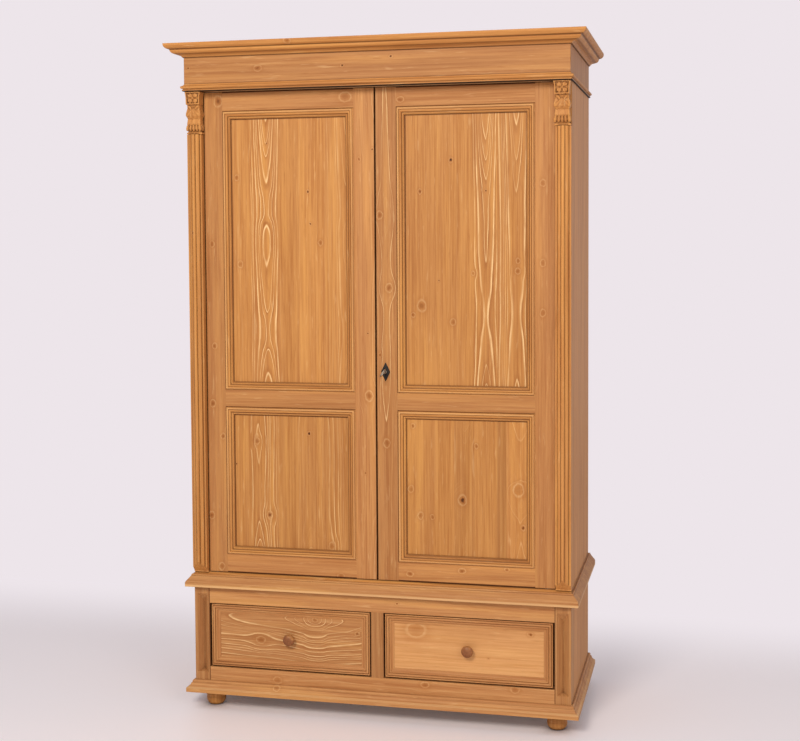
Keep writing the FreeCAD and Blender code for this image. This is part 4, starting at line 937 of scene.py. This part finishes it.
def modelCapital(carving):
    middle, top, backY = carving["middleX"], carving["top"], carving["backY"]
    startDown, startWide, startDeep = carving["levels"][0]
    body = addBlock((middle, backY - startDeep / 2, top - startDown / 2), (startWide, startDeep, startDown))
    bpy.ops.object.mode_set(mode="EDIT")
    selectFaces(lambda at, normal: normal.z < -facing)
    drawOut(carving["levels"], 2, -1, (middle * mm, backY * mm, 0))
    blockFoot = top - carving["levels"][2][0]
    selectFaces(lambda at, normal: normal.y < -facing and at.z > blockFoot and at.z < top - startDown)
    bpy.ops.mesh.inset(thickness=carving["windowMm"] * mm)
    bpy.ops.mesh.extrude_region_move(TRANSFORM_OT_translate={"value": (0, carving["windowDepth"] * mm, 0)})
    bpy.ops.object.mode_set(mode="OBJECT")
    foot = top - carving["levels"][-1][0]
    inner, outer = carving["reliefX"], middle + carving["reliefOut"]
    front, deep = backY - carving["reliefSunk"], carving["deepY"]
    back = addBlock(((inner + outer) / 2, (deep + front) / 2, (top + foot) / 2),
                    (outer - inner, deep - front, top - foot))
    bpy.ops.object.mode_set(mode="EDIT")
    selectFaces(lambda at, normal: normal.y < -facing)
    bpy.ops.transform.resize(value=(0.8, 1, 1))
    bpy.ops.object.mode_set(mode="OBJECT")

    bud = makeBud()
    pieces = [body, back]
    for quarter in (0, 90, 180, 270):
        for angle in carving["petalAngles"]:
            way = math.radians(quarter + angle)
            place = (middle + carving["petalOut"] * math.sin(way), carving["floorY"],
                     carving["rosetteZ"] + carving["petalOut"] * math.cos(way))
            pieces.append(placeCopy(bud, place, carving["petal"], (0, 180 + quarter + angle, 0)))
    pieces.append(placeCopy(bud, (middle, carving["floorY"], carving["rosetteZ"]), carving["button"]))
    for x, z, wide, deep, long, lean in carving["leaves"]:
        pieces.append(placeCopy(bud, (middle + x, carving["leafY"], z), (wide, deep, long), (0, lean, 0)))
    for x, z in carving["curls"]:
        pieces.append(placeCopy(bud, (middle + x, carving["leafY"] + 1, z), carving["curl"]))
    for x in carving["lobes"]:
        lean = -carving["lobeLean"] * x / carving["lobes"][-1]
        pieces.append(placeCopy(bud, (middle + x, carving["lobeY"], carving["lobeZ"]), carving["lobe"],
                                (0, lean, 0)))
    for y in carving["sideLobes"]:
        for side in (-1, 1):
            pieces.append(placeCopy(bud, (middle + side * carving["sideLobeX"], y, carving["lobeZ"]),
                                    carving["sideLobe"]))
    capital = joinPieces(pieces, "capital_right_carving")
    carveAsOne(capital, carving["grainMm"], carving["soften"])
    bpy.data.objects.remove(bud)
    return capital


def mirrorPiece(piece, name):
    other = placeCopy(piece, (0, 0, 0), (-1, 1, 1))
    other.name = other.data.name = name
    bpy.ops.object.mode_set(mode="EDIT")
    bpy.ops.mesh.select_all(action="SELECT")
    bpy.ops.mesh.normals_make_consistent(inside=False)
    bpy.ops.object.mode_set(mode="OBJECT")
    return other


carvedSpruce = nodes["capital_left"].material_slots[0].material
capitalRight = modelCapital(capitalCarving)
capitalLeft = mirrorPiece(capitalRight, "capital_left_carving")
finishPiece(capitalRight, "carcass", ["capital_right"], carvedSpruce)
finishPiece(capitalLeft, "carcass", ["capital_left"], carvedSpruce)


# a turned knob: a foot against the board, a neck and a flattened ball; levels in mm from the board
knobTurning = {
    "x": 270.75, "z": 226.45, "faceY": -210.5, "sides": 56, "startRadius": 10.6,
    "levels": [(0.2, 10.6), (1.0, 11.0), (1.9, 10.8), (2.5, 9.6), (3.6, 8.9), (6.0, 8.2), (8.6, 8.1),
               (10.4, 9.0), (12.2, 11.6), (13.9, 14.4), (15.8, 16.4), (17.8, 17.3), (19.8, 17.4),
               (21.8, 16.9), (23.6, 15.7), (25.3, 13.6), (26.8, 10.6), (27.9, 7.2), (28.6, 3.8),
               (28.9, 0.9)]}


def modelKnob(turning, x, name):
    start = turning["levels"][0][0]
    knob = addDisc(turning["sides"], turning["startRadius"], start,
                   (x, turning["faceY"] - start / 2, turning["z"]))
    turnOut(knob, turning["levels"], (x * mm, 0, turning["z"] * mm))
    bpy.ops.object.shade_smooth_by_angle(angle=math.radians(50))
    return joinPieces([knob], name)


turnedBeech = nodes["drawer_left_knob"].material_slots[0].material
for side, sign in (("left", -1), ("right", 1)):
    knob = modelKnob(knobTurning, sign * knobTurning["x"], "drawer_%s_knob_turned" % side)
    finishPiece(knob, "drawer_" + side, ["drawer_%s_knob" % side], turnedBeech)


# a corner post of the base: a V groove cut into its face that runs out in a long slope at its head and a
# short one at its foot
postCarving = {"grooveWide": 36.0, "grooveDeep": 17.0, "foot": 59.0, "head": 44.0, "headSlope": 27.0,
               "footSlope": 7.0, "valley": 0.3}


def modelPost(carving, side):
    low, high = [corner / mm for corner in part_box("base_post_" + side)]
    middle = (low + high) / 2
    post = addBlock(middle, high - low)
    left, right = middle.x - carving["grooveWide"] / 2, middle.x + carving["grooveWide"] / 2
    foot, head = low.z + carving["foot"], high.z - carving["head"]
    bpy.ops.object.mode_set(mode="EDIT")
    for axis, cut in ((0, left), (0, right), (2, foot), (2, head)):
        at, normal = middle.copy(), Vector((0, 0, 0))
        at[axis], normal[axis] = cut, 1
        bpy.ops.mesh.select_all(action="SELECT")
        bpy.ops.mesh.bisect(plane_co=at * mm, plane_no=normal)
    selectFaces(lambda at, normal: normal.y < -facing and left < at.x < right and foot < at.z < head)
    bpy.ops.mesh.inset(thickness=(carving["grooveWide"] - carving["valley"]) / 2 * mm)
    slope = (carving["grooveWide"] - carving["valley"]) / 2
    grown = (head - foot - carving["headSlope"] - carving["footSlope"]) / (head - foot - 2 * slope)
    centre = Vector((middle.x, low.y, (head - carving["headSlope"] + foot + carving["footSlope"]) / 2)) * mm
    bpy.ops.transform.translate(value=(0, carving["grooveDeep"] * mm, centre.z - (head + foot) / 2 * mm))
    bpy.ops.transform.resize(value=(1, 1, grown), center_override=centre)
    bpy.ops.object.mode_set(mode="OBJECT")
    return joinPieces([post], "base_post_%s_cut" % side)


for side in ("left", "right"):
    post = modelPost(postCarving, side)
    finishPiece(post, "carcass", ["base_post_" + side],
                nodes["base_post_" + side].material_slots[0].material)


# the diamond key plate: forged, with a bevelled rim, a keyhole sunk under the key and a nail at each end
plateForging = {"x": 28.5, "z": 1035.7, "faceY": -210.0, "halfWide": 13.9, "halfHigh": 27.9, "thick": 2.0,
                "bevel": 1.0, "slot": (2.4, 12.0), "slotDepth": 1.5, "nails": (-21.0, 21.0),
                "nail": (1.7, 0.9, 1.7)}
# the key: its stem with collar and rings, the bit in the lock, and an oval bow that hangs turned in the lock
keyForging = {"x": 28.5, "z": 1035.7, "backY": -173.5, "turn": 35, "grainMm": 0.4, "soften": 2,
              "levels": [(0.5, 2.7), (1.5, 3.0), (36.6, 3.0), (38.9, 3.0), (39.3, 4.4), (42.4, 4.5),
                         (42.9, 3.3), (57.5, 2.9), (58.2, 4.0), (60.0, 4.3), (61.6, 3.6), (62.2, 2.9),
                         (65.0, 2.6)], "bowY": -247.9, "bowRing": (10.5, 1.5), "bow": (0.95, 1.24),
              "bit": (2.5, 9.0, 11.0), "bitY": -180.5}


def modelPlate(forging):
    x, z, faceY = forging["x"], forging["z"], forging["faceY"]
    freshStart()
    bpy.ops.mesh.primitive_circle_add(vertices=4, radius=forging["halfWide"] * mm, fill_type="NGON",
                                      rotation=(math.pi / 2, 0, 0))
    plate = bpy.context.object
    applyPlace(plate)
    plate.location, plate.scale = (x * mm, faceY * mm, z * mm), (1, 1,
                                                                 forging["halfHigh"] / forging["halfWide"])
    applyPlace(plate)
    bpy.ops.object.mode_set(mode="EDIT")
    bpy.ops.mesh.select_all(action="SELECT")
    bpy.ops.mesh.extrude_region_move(TRANSFORM_OT_translate={"value": (0, -forging["thick"] * mm, 0)})
    bpy.ops.mesh.select_all(action="SELECT")
    bpy.ops.mesh.normals_make_consistent(inside=False)
    selectFaces(lambda at, normal: normal.y < -facing)
    bpy.ops.mesh.bevel(offset=forging["bevel"] * mm, segments=3, affect="EDGES")
    bpy.ops.object.mode_set(mode="OBJECT")
    wide, high = forging["slot"]
    cutter = addBlock((x, faceY - forging["thick"], z - high / 2), (wide, forging["slotDepth"] * 2, high))
    cutAway(plate, cutter, "keyhole")
    bud = makeBud()
    nails = [placeCopy(bud, (x, faceY - forging["thick"], z + rise),
                       forging["nail"]) for rise in forging["nails"]]
    for nail in nails:
        nail.data.shade_smooth()
    bpy.data.objects.remove(bud)
    return joinPieces([plate] + nails, "escutcheon_forged")


def modelKey(forging):
    x, z, backY = forging["x"], forging["z"], forging["backY"]
    start = forging["levels"][0][0]
    stem = addDisc(32, forging["levels"][0][1], start, (x, backY - start / 2, z))
    turnOut(stem, forging["levels"], (x * mm, 0, z * mm))
    thick, wide, high = forging["bit"]
    bit = addBlock((x, forging["bitY"], z - high / 2), (thick, wide, high))
    bpy.ops.object.mode_set(mode="EDIT")
    bpy.ops.mesh.subdivide(number_cuts=4)
    selectFaces(lambda at, normal: normal.z < -facing and abs(at.y - forging["bitY"]) < wide / 5)
    bpy.ops.mesh.extrude_region_move(TRANSFORM_OT_translate={"value": (0, 0, high / 3 * mm)})
    bpy.ops.object.mode_set(mode="OBJECT")
    bpy.ops.object.select_all(action="DESELECT")
    bpy.ops.mesh.primitive_torus_add(major_radius=forging["bowRing"][0] * mm,
                                     minor_radius=forging["bowRing"][1] * mm, major_segments=64,
                                     minor_segments=20)
    bow = bpy.context.object
    bow.rotation_euler = (0, math.pi / 2, 0)
    applyPlace(bow)
    bow.scale = (1, forging["bow"][0], forging["bow"][1])
    applyPlace(bow)
    bow.rotation_euler = (0, math.radians(forging["turn"]), 0)
    bow.location = (x * mm, forging["bowY"] * mm, z * mm)
    applyPlace(bow)
    key = joinPieces([stem, bit, bow], "key_forged")
    carveAsOne(key, forging["grainMm"], forging["soften"])
    return key


finishPiece(modelPlate(plateForging), "door_right", ["escutcheon"], blackenedIron)
finishPiece(modelKey(keyForging), "key", ["key"], wornSteel)


# slotted wood screws, 5 mm heads, that hold the lock, the keeper and the bolt brackets inside the doors
screwTurning = {"radius": 2.6, "high": 0.9, "slot": (0.8, 0.6), "caseInset": 6, "keeperInset": 7,
                "bracketInset": 3.4, "bracketRise": (8.0, 70.0)}


def modelScrew(turning):
    # modelled once at the origin with its head up, then copied to each place
    radius, high = turning["radius"], turning["high"]
    screw = addDisc(24, radius, high, (0, 0, high / 2), (0, 0, 0))
    bpy.ops.object.mode_set(mode="EDIT")
    selectFaces(lambda at, normal: normal.z > facing)
    bpy.ops.mesh.inset(thickness=radius * 0.35 * mm, depth=high * 0.35 * mm)
    bpy.ops.object.mode_set(mode="OBJECT")
    wide, deep = turning["slot"]
    cutAway(screw, addBlock((0, 0, high * 1.35), (radius * 3, wide, deep * 2)), "slot")
    return screw


def screwsOn(screw, places, name):
    # heads towards the back of the wardrobe, each slot left at its own angle
    heads = [placeCopy(screw, place, (1, 1, 1), (-90, random.uniform(0, 180), 0)) for place in places]
    return joinPieces(heads, name)


screw = modelScrew(screwTurning)
low, high = [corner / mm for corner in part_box("lock_case")]
inset = screwTurning["caseInset"]
caseScrews = [(x, high.y, z) for x in (low.x + inset, high.x - inset) for z in (low.z + inset,
                                                                                high.z - inset)]
low, high = [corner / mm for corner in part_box("lock_keeper")]
inset = screwTurning["keeperInset"]
doorScrews = [((low.x + high.x) / 2, high.y, z) for z in (low.z + inset, high.z - inset)]
low, high = [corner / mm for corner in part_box("bolt_brackets")]
inset = screwTurning["bracketInset"]
for x in (low.x + inset, high.x - inset):
    for rise in screwTurning["bracketRise"]:
        doorScrews += [(x, high.y, low.z + rise), (x, high.y, high.z - rise)]
for places, name, door in ((caseScrews, "lock_case_screws", "door_right"),
                           (doorScrews, "bolt_screws", "door_left")):
    finishPiece(screwsOn(screw, places, name), door, [], brightSteel)
bpy.data.objects.remove(screw)
print("pieces modelled")

view = bpy.context.scene.view_settings
view.view_transform = "Standard"
